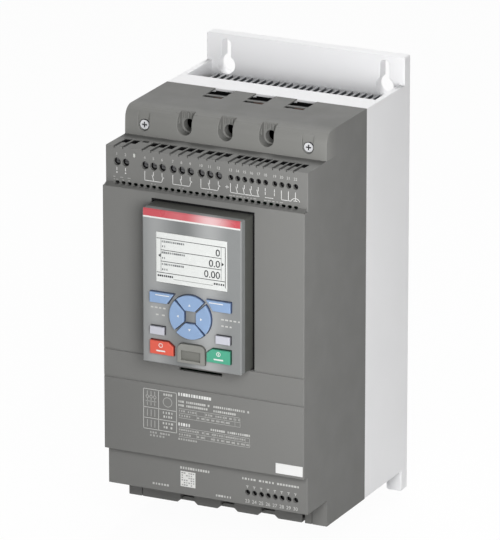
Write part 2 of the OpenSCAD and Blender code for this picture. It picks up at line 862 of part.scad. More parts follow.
// Terminal screws with a slotted head, just under the face of their block
module slotted(x, z, r, face) {
    t = face - pcb_d;
    head = face - 0.03 * t;
    difference() {
        rod(x, z, r, head - 0.45 * t, head);
        block(x - r - 1, x + r + 1, head - 0.8, head + 1, z - r * 0.2, z + r * 0.2);
    }
}

module terminal_screws_large() {
    color([0.66, 0.67, 0.69])
        for (x = concat(supply_x, relay_x))
            slotted(x, term_z, 2.05, term_face);
}

module terminal_screws_small() {
    color([0.66, 0.67, 0.69]) {
        for (x = signal_x)
            slotted(x, term_z, 1.4, term_face);
        for (x = lower_x)
            slotted(x, low_term_z, 1.4, low_face);
    }
}

// Light pipe of the status light
module status_light() {
    color([0.92, 0.93, 0.9])
        block(light_x - 0.75, light_x + 0.75, ctrl_d - skin - 2, ctrl_d + 0.1, term_z + 4.55, term_z + 7.25);
}

// Key outlines in X and Z about the keypad's key axis, grown by g
grey_in = 19.1;
grey_out = 29.7;
grey_low = ring_z - 15.4;
grey_top = ring_z - 9.8;

function soft_outline(g) = [[12 - 1.6 * g, ring_z + 14.3 + g], [30 + g, ring_z + 14.3 + g], [30 + g, ring_z + 7 - g],
    [17.2 - 1.2 * g, ring_z + 7 - g]];
function grey_outline(g) = [[grey_in - g, grey_low - g], [grey_out + g, grey_low - g], [grey_out + g, grey_top + g],
    [grey_in - g, grey_top + g]];
function start_outline(g) = [[12.4 - g, ring_z - 29.2 - g], [29.8 + g, ring_z - 29.2 - g],
    [29.8 + g, ring_z - 19.7 + g],
    [16.4 - 0.4 * g, ring_z - 19.7 + g], [12.4 - g, ring_z - 22.7 + 0.4 * g]];
function sector_outline(g) = concat(arc(0, 0, ring_r + g, 45 + half_gap(g), 135 - half_gap(g), 12),
    [[-5 - 0.2 * g, 5.8 - g], [-3.6, 4.4 - g], [3.6, 4.4 - g], [5 + 0.2 * g, 5.8 - g]]);
function half_gap(g) = asin((0.95 - g) / ring_r);

// One key: cap through the face and a flange behind it
module key_body(pts, flange_pts, tone) {
    color(tone) {
        along_y(flange_f - 0.1, key_top)
            polygon(pts);
        along_y(flange_f - flange_t, flange_f)
            polygon(flange_pts);
    }
}

module at_keys() {
    translate([key_x, 0, 0])
        children();
}

module at_ring(turn) {
    translate([key_x, 0, ring_z])
        rotate([0, turn, 0])
            children();
}

module key_soft_right() {
    at_keys()
        key_body(soft_outline(0), soft_outline(0.9), [0.6, 0.7, 0.85]);
}

module key_soft_left() {
    at_keys()
        key_body(mirrored(soft_outline(0)), mirrored(soft_outline(0.9)), [0.6, 0.7, 0.85]);
}

module arrow_key(turn) {
    at_ring(turn)
        key_body(sector_outline(0), sector_outline(0.55), [0.6, 0.7, 0.85]);
}

module key_up() {
    arrow_key(0);
}

module key_right() {
    arrow_key(90);
}

module key_down() {
    arrow_key(180);
}

module key_left() {
    arrow_key(270);
}

module key_info() {
    at_keys()
        key_body(mirrored(grey_outline(0)), mirrored(grey_outline(0.9)), [0.83, 0.83, 0.87]);
}

module key_mode() {
    at_keys()
        key_body(grey_outline(0), grey_outline(0.9), [0.83, 0.83, 0.87]);
}

module key_stop() {
    at_keys()
        key_body(mirrored(start_outline(0)), mirrored(start_outline(0.9)), [0.86, 0.36, 0.28]);
}

module key_start() {
    at_keys()
        key_body(start_outline(0), start_outline(0.9), [0.28, 0.7, 0.55]);
}

// Outline of the socket flap, grown by a gap g
function flap_outline(g) = concat([[flap_x + g, flap_low - g]], arc(flap_x - 4, flap_top - 4, 4 + g, 0, 90, 5),
    arc(-flap_x + 4, flap_top - 4, 4 + g, 90, 180, 5), [[-flap_x - g, flap_low - g]]);

// Keypad case: front frame with window, key holes and flap recess, its face edges broken
pad_edge = 0.8;

module pad_outline() {
    polygon(rounded(-pad_x, pad_x, pad_low, pad_top, 1.2, 3));
}

// Wedge along one edge of the keypad's face, drawn across the edge
module edge_wedge(edge, dir) {
    reach = pad_edge + 1;
    polygon([[edge - dir * reach, -face_d - 1], [edge + dir, -face_d - 1], [edge + dir, -face_d + reach]]);
}

module keypad_case() {
    g = key_gap;
    color([0.58, 0.59, 0.59])
        difference() {
            along_y(split_d, face_d)
                pad_outline();
            block(-pad_x + pad_skin, pad_x - pad_skin, split_d - 1, face_in,
                pad_low + pad_skin, pad_top - pad_skin);
            for (s = [-1, 1])
                along_z(pad_low - 1, pad_top + 1)
                    edge_wedge(s * pad_x, s);
            along_x(-pad_x - 1, pad_x + 1)
                mirror([1, -1])
                    edge_wedge(pad_top, 1);
            along_x(-pad_x - 1, pad_x + 1)
                mirror([1, -1])
                    edge_wedge(pad_low, -1);
            block(-lcd_x - 0.2, lcd_x + 0.2, face_d - 1.2, face_d + 1, lcd_low - 0.2, lcd_top + 0.2);
            block(-lcd_x + 1.5, lcd_x - 1.5, face_in - 1, face_d + 1, lcd_low + 1.5, lcd_top - 1.5);
            at_keys()
                along_y(face_in - 1, face_d + 1) {
                    polygon(soft_outline(g));
                    polygon(mirrored(soft_outline(g)));
                    polygon(grey_outline(g));
                    polygon(mirrored(grey_outline(g)));
                    polygon(start_outline(g));
                    polygon(mirrored(start_outline(g)));
                }
            for (turn = [0:90:270])
                at_ring(turn)
                    along_y(face_in - 1, face_d + 1)
                        polygon(sector_outline(g));
            along_y(face_d - 1.4, face_d + 1)
                polygon(flap_outline(0.4));
            block(-4.4, 4.4, face_in - 1, face_d + 1, flap_low + 4.6, flap_low + 9);
        }
}

// Keypad back shell with posts for the boards
module keypad_back() {
    color([0.3, 0.3, 0.3])
        union() {
            difference() {
                along_y(pad_back, split_d)
                    pad_outline();
                block(-pad_x + pad_skin, pad_x - pad_skin, pad_back + 2, split_d + 1,
                    pad_low + pad_skin, pad_top - pad_skin);
            }
            for (s = [-1, 1]) {
                for (z = [pad_low + 9, ring_z + 10])
                    rod(s * 28, z, 2.4, pad_back + 1, board_d - pcb_t);
                for (z = [lcd_low + 4, lcd_top - 4])
                    rod(s * 22, z, 2.4, pad_back + 1, face_in - 6.2);
            }
        }
}

module display_window() {
    color([0.9, 0.91, 0.9])
        block(-lcd_x, lcd_x, face_d - 1.2, face_d - 0.1, lcd_low, lcd_top);
}

module display_module() {
    color([0.2, 0.22, 0.22])
        union() {
            block(-lcd_x - 2, lcd_x + 2, face_in - 6.2, face_in - 0.2, lcd_low - 2, lcd_top + 2);
            block(-lcd_x + 2, lcd_x - 2, face_in - 1, face_d - 1.5, lcd_low + 2, lcd_top - 2);
        }
}

// Keypad board with its contact domes and socket
module keypad_board() {
    color([0.1, 0.33, 0.2])
        difference() {
            union() {
                block(-31, 31, board_d - pcb_t, board_d, pad_low + 4, lcd_low - 3);
                block(-4, 4, board_d - 0.5, face_in + 0.9, flap_low + 5, flap_low + 8.6);
            }
            block(-3.4, 3.4, board_d + 0.6, face_in + 2, flap_low + 5.5, flap_low + 8.1);
        }
}

// Flap over the socket, hinged along its lower edge, with a finger recess
module usb_flap() {
    color([0.5, 0.5, 0.48])
        difference() {
            along_y(face_d - 1.1, flap_front)
                polygon(flap_outline(0));
            block(-7.4, 6.8, flap_front - 1.5, flap_front + 1, flap_low + 2, flap_low + 8.6);
        }
}

chassis();
heat_sink();
insulating_sheet();
fan_tray();
fan_frame_left();
fan_frame_right();
fan_rotor_left();
fan_rotor_right();
fan_screws();
housing();
line_cover();
load_cover();
front_cover();
lower_cover();
id_label();
cover_screws();
thyristor_1();
thyristor_2();
thyristor_3();
module_screws();
line_bar_1();
line_bar_2();
line_bar_3();
load_bar_1();
load_bar_2();
load_bar_3();
line_clamp_1();
line_clamp_2();
line_clamp_3();
load_clamp_1();
load_clamp_2();
load_clamp_3();
clamp_screws();
current_sensor();
bypass_contactor();
power_board();
control_board();
terminal_block_supply();
terminal_block_relays();
terminal_block_signals();
terminal_block_lower();
terminal_screws_large();
terminal_screws_small();
status_light();
keypad_case();
keypad_back();
display_window();
display_module();
keypad_board();
key_soft_left();
key_soft_right();
key_up();
key_down();
key_left();
key_right();
key_info();
key_mode();
key_stop();
key_start();
usb_flap();
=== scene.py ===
"""Dresses the soft starter: moulded covers, painted chassis, printed terminals, keypad and a plain studio."""

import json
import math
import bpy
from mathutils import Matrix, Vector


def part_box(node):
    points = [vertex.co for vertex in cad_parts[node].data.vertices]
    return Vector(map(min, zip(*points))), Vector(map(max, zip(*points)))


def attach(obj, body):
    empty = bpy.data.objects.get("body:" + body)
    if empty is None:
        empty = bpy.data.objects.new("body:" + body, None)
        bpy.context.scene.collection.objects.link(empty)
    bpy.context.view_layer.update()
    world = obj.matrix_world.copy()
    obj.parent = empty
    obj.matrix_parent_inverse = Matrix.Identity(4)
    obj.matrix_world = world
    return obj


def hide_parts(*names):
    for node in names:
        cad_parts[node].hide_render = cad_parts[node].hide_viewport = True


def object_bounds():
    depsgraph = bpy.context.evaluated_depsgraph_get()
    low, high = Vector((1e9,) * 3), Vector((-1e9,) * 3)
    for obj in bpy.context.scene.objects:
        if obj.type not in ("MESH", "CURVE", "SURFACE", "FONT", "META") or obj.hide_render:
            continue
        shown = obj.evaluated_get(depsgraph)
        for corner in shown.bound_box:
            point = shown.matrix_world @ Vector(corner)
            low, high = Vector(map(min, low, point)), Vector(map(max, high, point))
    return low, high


bl_info = {
    "name": "Soft Starter Dressing",
    "version": (1, 0, 0),
    "blender": (4, 5, 0),
    "location": "View3D > Sidebar > Soft Starter",
    "description": "Finishes, prints and stage for the soft starter",
    "category": "Object",
}

import bmesh
import bpy
from bpy.props import FloatProperty, FloatVectorProperty, IntProperty, PointerProperty
from mathutils import Matrix, Vector
from mathutils.bvhtree import BVHTree
from mathutils.geometry import delaunay_2d_cdt

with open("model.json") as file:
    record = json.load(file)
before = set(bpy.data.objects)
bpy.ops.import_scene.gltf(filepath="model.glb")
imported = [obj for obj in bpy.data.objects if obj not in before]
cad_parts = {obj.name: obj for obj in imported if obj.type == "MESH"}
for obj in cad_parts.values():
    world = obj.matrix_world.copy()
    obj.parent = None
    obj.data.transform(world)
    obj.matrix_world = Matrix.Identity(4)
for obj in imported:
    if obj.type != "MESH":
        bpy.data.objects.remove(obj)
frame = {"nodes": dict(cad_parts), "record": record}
CAD_BOX = [list(corner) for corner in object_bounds()]

MM = 0.001
NODES = frame["nodes"]
BODY_OF = {node: body for body, nodes in frame["record"]["behaviour"]["bodies"].items() for node in nodes}

# Levels of the printed faces, in millimetres
COVER_Y = -169.0
CTRL_Y = -164.0
STRIP_Y = -163.0
FACE_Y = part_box("keypad_case")[0][1] / MM
KEY_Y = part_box("key_up")[0][1] / MM
WINDOW_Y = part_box("display_window")[0][1] / MM
TERM_Z = 107.2
LOW_TERM_Z = -114.0
LARGE_PITCH = 6.45
SMALL_PITCH = 5.13
SUPPLY_X = [-66.5 + LARGE_PITCH * i for i in range(2)]
RELAY_X = [[-45.6 + 20.9 * g + LARGE_PITCH * i for i in range(3)] for g in range(3)]
INPUT_X = [18.1 + SMALL_PITCH * i for i in range(6)]
OUTPUT_X = [50.5 + SMALL_PITCH * i for i in range(4)]
LOWER_X = [30.1 + SMALL_PITCH * i for i in range(8)]
RING_X, RING_Z = -0.6, 13.6
INK_T = 0.05
# Painted shade for the lead-in grooves on the ledge, drawn as dark strips: where the wire slots end, the
# slots' share of the pitch, and the width
SLOT_Y = -154.2
SLOT_SHARE = 0.82
GROOVE_W = 2.2
# Painted shade over the small slot above the status light, drawn as a dark strip: front and back, and half
# its width
LIGHT_SLOT_Y = (-148.2, -145.2)
LIGHT_SLOT_X = 2.1
# Room around the keypad in its pocket, and the depth of the dark sheet of painted shade at the pocket's mouth
# and its distance from the keypad
POCKET_SIDE, POCKET_TOP = 1.3, 1.6
SHADE_SHEET_D, SHADE_SHEET_FREE = 2.2, 0.35
# In metres: where painted light makes the line cover's front paler, and depths of the painted shade on the
# sides of large keys
HOOD_PAINTED_LIGHT = (-0.119, -0.133)
KEY_SHADE = (0.0006, 0.0018)
COVERS = ("housing", "line_cover", "load_cover", "front_cover", "lower_cover", "chassis")

# Camera fitted to the photograph's frame of 500 by 540 pixels
FRAME_LONG = 540
FOCAL_PX = 6079.0
SENSOR = 36.0
CAM_AZ, CAM_EL = 25.72, 18.13
CAM_DIST = 4.139
CAM_SIDE, CAM_RISE = 0.00064, -0.01878
CAM_AIM = Vector((0.0, -0.095, 0.0))


def srgb(r, g, b):
    """Linear colour of an 8-bit display colour."""
    shares = (r / 255, g / 255, b / 255)
    return tuple(c / 12.92 if c <= 0.04045 else ((c + 0.055) / 1.055) ** 2.4 for c in shares)


class SoftStarterLook(bpy.types.PropertyGroup):
    """Colours and small sizes that a user may change before dressing the part."""

    front_grey: FloatVectorProperty(
        name="Front plastic", description="Colour of the front covers", subtype="COLOR", size=3,
        min=0, max=1, default=srgb(122, 122, 120))
    rear_grey: FloatVectorProperty(
        name="Rear plastic", description="Colour of the housing and terminal covers", subtype="COLOR", size=3,
        min=0, max=1, default=srgb(122, 122, 120))
    paint_grey: FloatVectorProperty(
        name="Chassis paint", description="Colour of the painted chassis", subtype="COLOR", size=3,
        min=0, max=1, default=srgb(249, 249, 250))
    keypad_grey: FloatVectorProperty(
        name="Keypad", description="Colour of the keypad case", subtype="COLOR", size=3,
        min=0, max=1, default=srgb(129, 131, 131))
    band_red: FloatVectorProperty(
        name="Band", description="Colour of the band across the keypad", subtype="COLOR", size=3,
        min=0, max=1, default=srgb(187, 71, 80))
    key_blue: FloatVectorProperty(
        name="Blue keys", description="Colour of the soft keys and arrow keys", subtype="COLOR", size=3,
        min=0, max=1, default=srgb(133, 159, 194))
    stop_red: FloatVectorProperty(
        name="Stop key", description="Colour of the stop key", subtype="COLOR", size=3,
        min=0, max=1, default=srgb(212, 88, 70))
    start_green: FloatVectorProperty(
        name="Start key", description="Colour of the start key", subtype="COLOR", size=3,
        min=0, max=1, default=srgb(70, 157, 128))
    cover_edge: FloatProperty(
        name="Cover edge", description="Rounding of the moulded covers' edges", subtype="DISTANCE",
        unit="LENGTH", min=0, max=0.002, default=0.0005)
    key_edge: FloatProperty(
        name="Key edge", description="Rounding of the keys' edges", subtype="DISTANCE", unit="LENGTH",
        min=0, max=0.002, default=0.0006)
    print_seed: IntProperty(
        name="Print seed", description="Seed of the broken lines that stand for small print",
        min=0, default=7)


# Materials, and settings that several of them share
MADE = {}
MOULDED = {"rough": 0.58, "tint": 0.014, "patch": 9, "shine": 0.12}
PLATED = {"patch": 80, "grain": 2600}
SILICONE = {"rough": 0.42, "tint": 0.04, "patch": 40, "grain": 2200, "bump": 0.08}
INK = {"tint": 0.05, "bump": 0.05}


def link(tree, a, b):
    """Joins two sockets."""
    tree.links.new(a, b)


def surface(name, colour, rough, metal=0.0, tint=0.05, patch=14.0, grain=1800.0, bump=0.12, rough_swing=0.08,
            stretch=(1, 1, 1), coat=0.0, sheen=0.0, shine=0.5):
    """A finish with slow colour drift, fine grain and uneven gloss, in Object coordinates."""
    if name in MADE:
        return MADE[name]
    mat = bpy.data.materials.new(name)
    MADE[name] = mat
    mat.use_nodes = True
    tree = mat.node_tree
    shader = tree.nodes["Principled BSDF"]
    shader.inputs["Metallic"].default_value = metal
    shader.inputs["Coat Weight"].default_value = coat
    shader.inputs["Coat Roughness"].default_value = 0.15
    shader.inputs["Sheen Weight"].default_value = sheen
    shader.inputs["Specular IOR Level"].default_value = shine
    coords = tree.nodes.new("ShaderNodeTexCoord")
    place = tree.nodes.new("ShaderNodeMapping")
    place.inputs["Scale"].default_value = stretch
    link(tree, coords.outputs["Object"], place.inputs["Vector"])

    def noise(scale, detail):
        node = tree.nodes.new("ShaderNodeTexNoise")
        node.inputs["Scale"].default_value = scale
        node.inputs["Detail"].default_value = detail
        link(tree, place.outputs["Vector"], node.inputs["Vector"])
        return node

    def remap(source, low, high):
        node = tree.nodes.new("ShaderNodeMapRange")
        node.inputs["From Min"].default_value = 0.3
        node.inputs["From Max"].default_value = 0.7
        node.inputs["To Min"].default_value = low
        node.inputs["To Max"].default_value = high
        link(tree, source.outputs["Fac"], node.inputs["Value"])
        return node

    drift = tree.nodes.new("ShaderNodeMix")
    drift.data_type = "RGBA"
    drift.blend_type = "MIX"
    drift.inputs["A"].default_value = (*[c * (1 - tint) for c in colour], 1)
    drift.inputs["B"].default_value = (*[min(1.0, c * (1 + tint)) for c in colour], 1)
    link(tree, remap(noise(patch, 3), 0.0, 1.0).outputs["Result"], drift.inputs["Factor"])
    link(tree, drift.outputs["Result"], shader.inputs["Base Color"])
    link(tree, remap(noise(patch * 6, 4), rough - rough_swing, rough + rough_swing).outputs["Result"],
         shader.inputs["Roughness"])
    relief = tree.nodes.new("ShaderNodeBump")
    relief.inputs["Strength"].default_value = bump
    relief.inputs["Distance"].default_value = 0.0002
    link(tree, noise(grain, 2).outputs["Fac"], relief.inputs["Height"])
    link(tree, relief.outputs["Normal"], shader.inputs["Normal"])
    return mat


def display_surface():
    """Pale reflective display with a fine dot grid under a glossy sheet."""
    mat = surface("display_glass", srgb(220, 222, 220), 0.25, tint=0.02, bump=0.0, coat=0.4)
    tree = mat.node_tree
    if tree.nodes.get("dot_grid"):
        return mat
    shader = tree.nodes["Principled BSDF"]
    coords = tree.nodes["Texture Coordinate"]
    turn = tree.nodes.new("ShaderNodeMapping")
    turn.inputs["Rotation"].default_value = (math.radians(90), 0, 0)
    grid = tree.nodes.new("ShaderNodeTexBrick")
    grid.name = "dot_grid"
    grid.offset = 0.0
    grid.inputs["Scale"].default_value = 1.0
    grid.inputs["Brick Width"].default_value = 0.00042
    grid.inputs["Row Height"].default_value = 0.00042
    grid.inputs["Mortar Size"].default_value = 0.00003
    grid.inputs["Color1"].default_value = (*srgb(223, 225, 223), 1)
    grid.inputs["Color2"].default_value = (*srgb(218, 220, 218), 1)
    grid.inputs["Mortar"].default_value = (*srgb(205, 208, 205), 1)
    link(tree, coords.outputs["Object"], turn.inputs["Vector"])
    link(tree, turn.outputs["Vector"], grid.inputs["Vector"])
    link(tree, grid.outputs["Color"], shader.inputs["Base Color"])
    return mat


def two_tone(mat, name, axis, start, stop, colour):
    """Turns a finish to a second colour between two places on an axis, in metres; gives the share's node."""
    tree = mat.node_tree
    shader = tree.nodes["Principled BSDF"]
    split = tree.nodes.new("ShaderNodeSeparateXYZ")
    share = tree.nodes.new("ShaderNodeMapRange")
    share.name = name
    share.inputs["From Min"].default_value = start
    share.inputs["From Max"].default_value = stop
    tone = tree.nodes.new("ShaderNodeMix")
    tone.data_type = "RGBA"
    tone.inputs["B"].default_value = (*colour, 1)
    link(tree, tree.nodes["Texture Coordinate"].outputs["Object"], split.inputs["Vector"])
    link(tree, split.outputs[axis], share.inputs["Value"])
    link(tree, share.outputs["Result"], tone.inputs["Factor"])
    link(tree, shader.inputs["Base Color"].links[0].from_socket, tone.inputs["A"])
    link(tree, tone.outputs["Result"], shader.inputs["Base Color"])
    return share


def finned_surface():
    """Extruded aluminium whose sawn upper ends are brighter than the sides of the fins."""
    mat = surface("extruded_aluminium", srgb(140, 142, 146), 0.45, metal=0.9, tint=0.08, grain=420, bump=0.16,
                  stretch=(1, 1, 0.03))
    tree = mat.node_tree
    if tree.nodes.get("sawn_end"):
        return mat
    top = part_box("heat_sink")[1][2]
    end = two_tone(mat, "sawn_end", "Z", top - 0.0002, top - 0.0001, srgb(214, 215, 217))
    matt = tree.nodes.new("ShaderNodeMapRange")
    matt.inputs["To Min"].default_value = 0.9
    matt.inputs["To Max"].default_value = 0.0
    link(tree, end.outputs["Result"], matt.inputs["Value"])
    link(tree, matt.outputs["Result"], tree.nodes["Principled BSDF"].inputs["Metallic"])
    return mat


def hood_painted_light_surface(look):
    """Moulded grey of the line cover, with painted light that makes its front paler."""
    mat = surface("moulded_hood_grey_painted_light", look.rear_grey, **MOULDED)
    if not mat.node_tree.nodes.get("painted_light_front"):
        two_tone(mat, "painted_light_front", "Y", *HOOD_PAINTED_LIGHT, srgb(137, 137, 134))
    return mat


def paint_recess_shade(mat, node, start, stop, colour):
    """Paints shade into a finish in the recesses of a piece, darker by depth under its front face, in metres.
    """
    if not mat.node_tree.nodes.get("recess"):
        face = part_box(node)[0][1]
        two_tone(mat, "recess", "Y", face + start, face + stop, colour)
    return mat


def paint_sheen_bands(mat, bands):
    """Lays soft upright bands of painted highlight over a finish, with painted shade where a gain is
    negative: place, half width (millimetres) and gain.
    """
    tree = mat.node_tree
    if tree.nodes.get("painted_sheen_tone"):
        return mat
    shader = tree.nodes["Principled BSDF"]
    split = tree.nodes.new("ShaderNodeSeparateXYZ")
    link(tree, tree.nodes["Texture Coordinate"].outputs["Object"], split.inputs["Vector"])
    total = None
    for place, half, gain in bands:
        offset = tree.nodes.new("ShaderNodeMath")
        offset.operation = "SUBTRACT"
        offset.inputs[1].default_value = place * MM
        size = tree.nodes.new("ShaderNodeMath")
        size.operation = "ABSOLUTE"
        fade = tree.nodes.new("ShaderNodeMapRange")
        fade.interpolation_type = "SMOOTHSTEP"
        fade.inputs["From Max"].default_value = half * MM
        fade.inputs["To Min"].default_value = gain
        fade.inputs["To Max"].default_value = 0.0
        link(tree, split.outputs["X"], offset.inputs[0])
        link(tree, offset.outputs[0], size.inputs[0])
        link(tree, size.outputs[0], fade.inputs["Value"])
        if total is None:
            total = fade.outputs["Result"]
            continue
        add = tree.nodes.new("ShaderNodeMath")
        link(tree, total, add.inputs[0])
        link(tree, fade.outputs["Result"], add.inputs[1])
        total = add.outputs[0]
    tone = tree.nodes.new("ShaderNodeMix")
    tone.name = "painted_sheen_tone"
    tone.data_type = "RGBA"
    tone.clamp_factor = False
    tone.inputs["B"].default_value = (1, 1, 1, 1)
    link(tree, total, tone.inputs["Factor"])
    link(tree, shader.inputs["Base Color"].links[0].from_socket, tone.inputs["A"])
    link(tree, tone.outputs["Result"], shader.inputs["Base Color"])
    return mat


def finishes(look):
    """All the finishes by name."""
    return {
        "front": surface("moulded_front_grey", look.front_grey, **MOULDED),
        "rear": surface("moulded_rear_grey", look.rear_grey, **MOULDED),
        # Line cover grey, with painted light on its front
        "hood": hood_painted_light_surface(look),
        "paint": surface("chassis_paint", look.paint_grey, 0.42, tint=0.015, grain=1100, bump=0.06),
        "aluminium": finned_surface(),
        "sheet": surface("galvanised_sheet", srgb(178, 182, 186), 0.4, metal=0.9, tint=0.12, patch=60,
                         grain=600),
        # Painted shade for the ledge's grooves and the slot over the status light
        "groove": surface("painted_groove_shade", srgb(52, 52, 51), 0.7, tint=0.08, shine=0.1),
        # Terminal screw steel, darkened as painted shade for their deep holes
        "grey_screw": surface("grey_steel_and_painted_shade", srgb(112, 112, 113), 0.45, metal=0.4, tint=0.1, shine=0.25,
                              **PLATED),
        "dark_screw": surface("dark_steel_and_painted_shade", srgb(58, 58, 60), 0.45, metal=0.5, tint=0.1, shine=0.25,
                              **PLATED),
        "zinc": surface("zinc_plated_steel", srgb(206, 208, 212), 0.28, metal=0.9, tint=0.08, **PLATED),
        # Clamp steel, darkened as painted shade inside the covers' slits
        "clamp": surface("clamp_steel_and_painted_shade", srgb(48, 48, 50), 0.5, metal=0.6, tint=0.12, patch=50,
                         grain=900, shine=0.2),
        "copper": surface("aged_copper", srgb(104, 66, 48), 0.42, metal=1.0, tint=0.12, patch=40, grain=700,
                          stretch=(1, 1, 0.1)),
        "black": surface("black_moulding", srgb(34, 34, 36), 0.55, tint=0.12, shine=0.3),
        # Own black of the terminal blocks, and painted shade where it stands for the dark pocket gap and the
        # inside behind the top cut-outs
        "deep_black": surface("deep_black_moulding_and_painted_shade", srgb(16, 16, 17), 0.7, tint=0.15, shine=0.12),
        # Bright zinc, with painted shade in the screws' cross recess and rim
        "bright_zinc": paint_recess_shade(
            surface("bright_zinc", srgb(236, 237, 240), 0.3, metal=0.25, tint=0.05, **PLATED),
            "cover_screws", 0.0003, 0.0006, srgb(74, 74, 76)),
        "module": surface("epoxy_moulding", srgb(58, 58, 62), 0.55, tint=0.12, grain=900),
        "board": surface("solder_resist", srgb(16, 44, 28), 0.4, tint=0.18, patch=160, grain=1200, coat=0.3),
        # Keypad face, with upright bands of painted highlight and painted shade
        "keypad": paint_sheen_bands(
            surface("keypad_satin_painted_sheen", look.keypad_grey, 0.38, tint=0.02, patch=9, grain=2600, bump=0.06),
            ((13.0, 16.0, 0.16), (-27.0, 12.0, 0.1), (-7.0, 12.0, -0.07))),
        "keypad_side": surface("keypad_back_plastic", srgb(77, 78, 74), 0.5, tint=0.05),
        # Red band, with bands of painted highlight, strongest towards the right
        "band": paint_sheen_bands(surface("band_red", look.band_red, 0.3, tint=0.03, patch=10, bump=0.02, coat=0.3),
                            ((14.0, 20.0, 0.42), (-10.0, 14.0, 0.05))),
        "ink": surface("white_ink", srgb(222, 222, 220), 0.5, tint=0.03, bump=0.05),
        "pale_ink": surface("pale_ink", srgb(192, 192, 189), 0.55, **INK),
        "faint_ink": surface("faint_ink", srgb(166, 166, 163), 0.55, **INK),
        "soft_grey": surface("soft_grey_ink", srgb(150, 150, 148), 0.55, **INK),
        "dark_ink": surface("display_black", srgb(40, 42, 44), 0.4, tint=0.1, bump=0.03),
        "display_grey": surface("display_grey", srgb(104, 107, 108), 0.4, tint=0.1, bump=0.03),
        "label": surface("label_white", srgb(230, 230, 229), 0.45, tint=0.012, bump=0.04),
        "light": surface("light_pipe", srgb(190, 192, 187), 0.22, tint=0.02, bump=0.02, coat=0.5),
        # Painted shade on the sides of the raised keys, below their front faces
        "blue": paint_recess_shade(surface("blue_silicone", look.key_blue, sheen=0.1, **SILICONE),
                         "key_up", *KEY_SHADE, srgb(62, 84, 126)),
        # Painted shade on the sides of the grey keys, below their front faces
        "grey_key": paint_recess_shade(
            surface("grey_silicone", srgb(189, 190, 199), 0.45, tint=0.025, patch=40, bump=0.08),
            "key_info", 0.0005, 0.0016, srgb(92, 92, 98)),
        # Painted shade on the sides of the stop key
        "stop": paint_recess_shade(surface("stop_silicone", look.stop_red, **SILICONE),
                         "key_stop", *KEY_SHADE, srgb(128, 46, 38)),
        # Painted shade on the sides of the start key
        "start": paint_recess_shade(surface("start_silicone", look.start_green, **SILICONE),
                          "key_start", *KEY_SHADE, srgb(34, 92, 72)),
        # Flap rubber, with painted shade in its recess
        "flap": paint_recess_shade(surface("flap_rubber", srgb(132, 132, 127), 0.55, tint=0.05, patch=60),
                         "usb_flap", 0.0001, 0.0013, srgb(110, 110, 105)),
        "display": display_surface(),
    }


# Meshes


def finished(obj, body):
    """A new piece that moves with its body."""
    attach(obj, body)
    return obj


def new_object(name, mesh, mat):
    """Links a mesh with one material, its place in its vertices."""
    mesh.materials.clear()
    mesh.materials.append(mat)
    obj = bpy.data.objects.new(name, mesh)
    bpy.context.scene.collection.objects.link(obj)
    return obj


def paint(node, mat):
    """Gives a CAD node its finish."""
    obj = NODES[node]
    if obj.material_slots:
        obj.material_slots[0].material = mat
    else:
        obj.data.materials.append(mat)


def baked(obj):
    """The object's mesh with its modifiers applied."""
    graph = bpy.context.evaluated_depsgraph_get()
    mesh = bpy.data.meshes.new_from_object(obj.evaluated_get(graph))
    obj.modifiers.clear()
    obj.data = mesh
    return obj


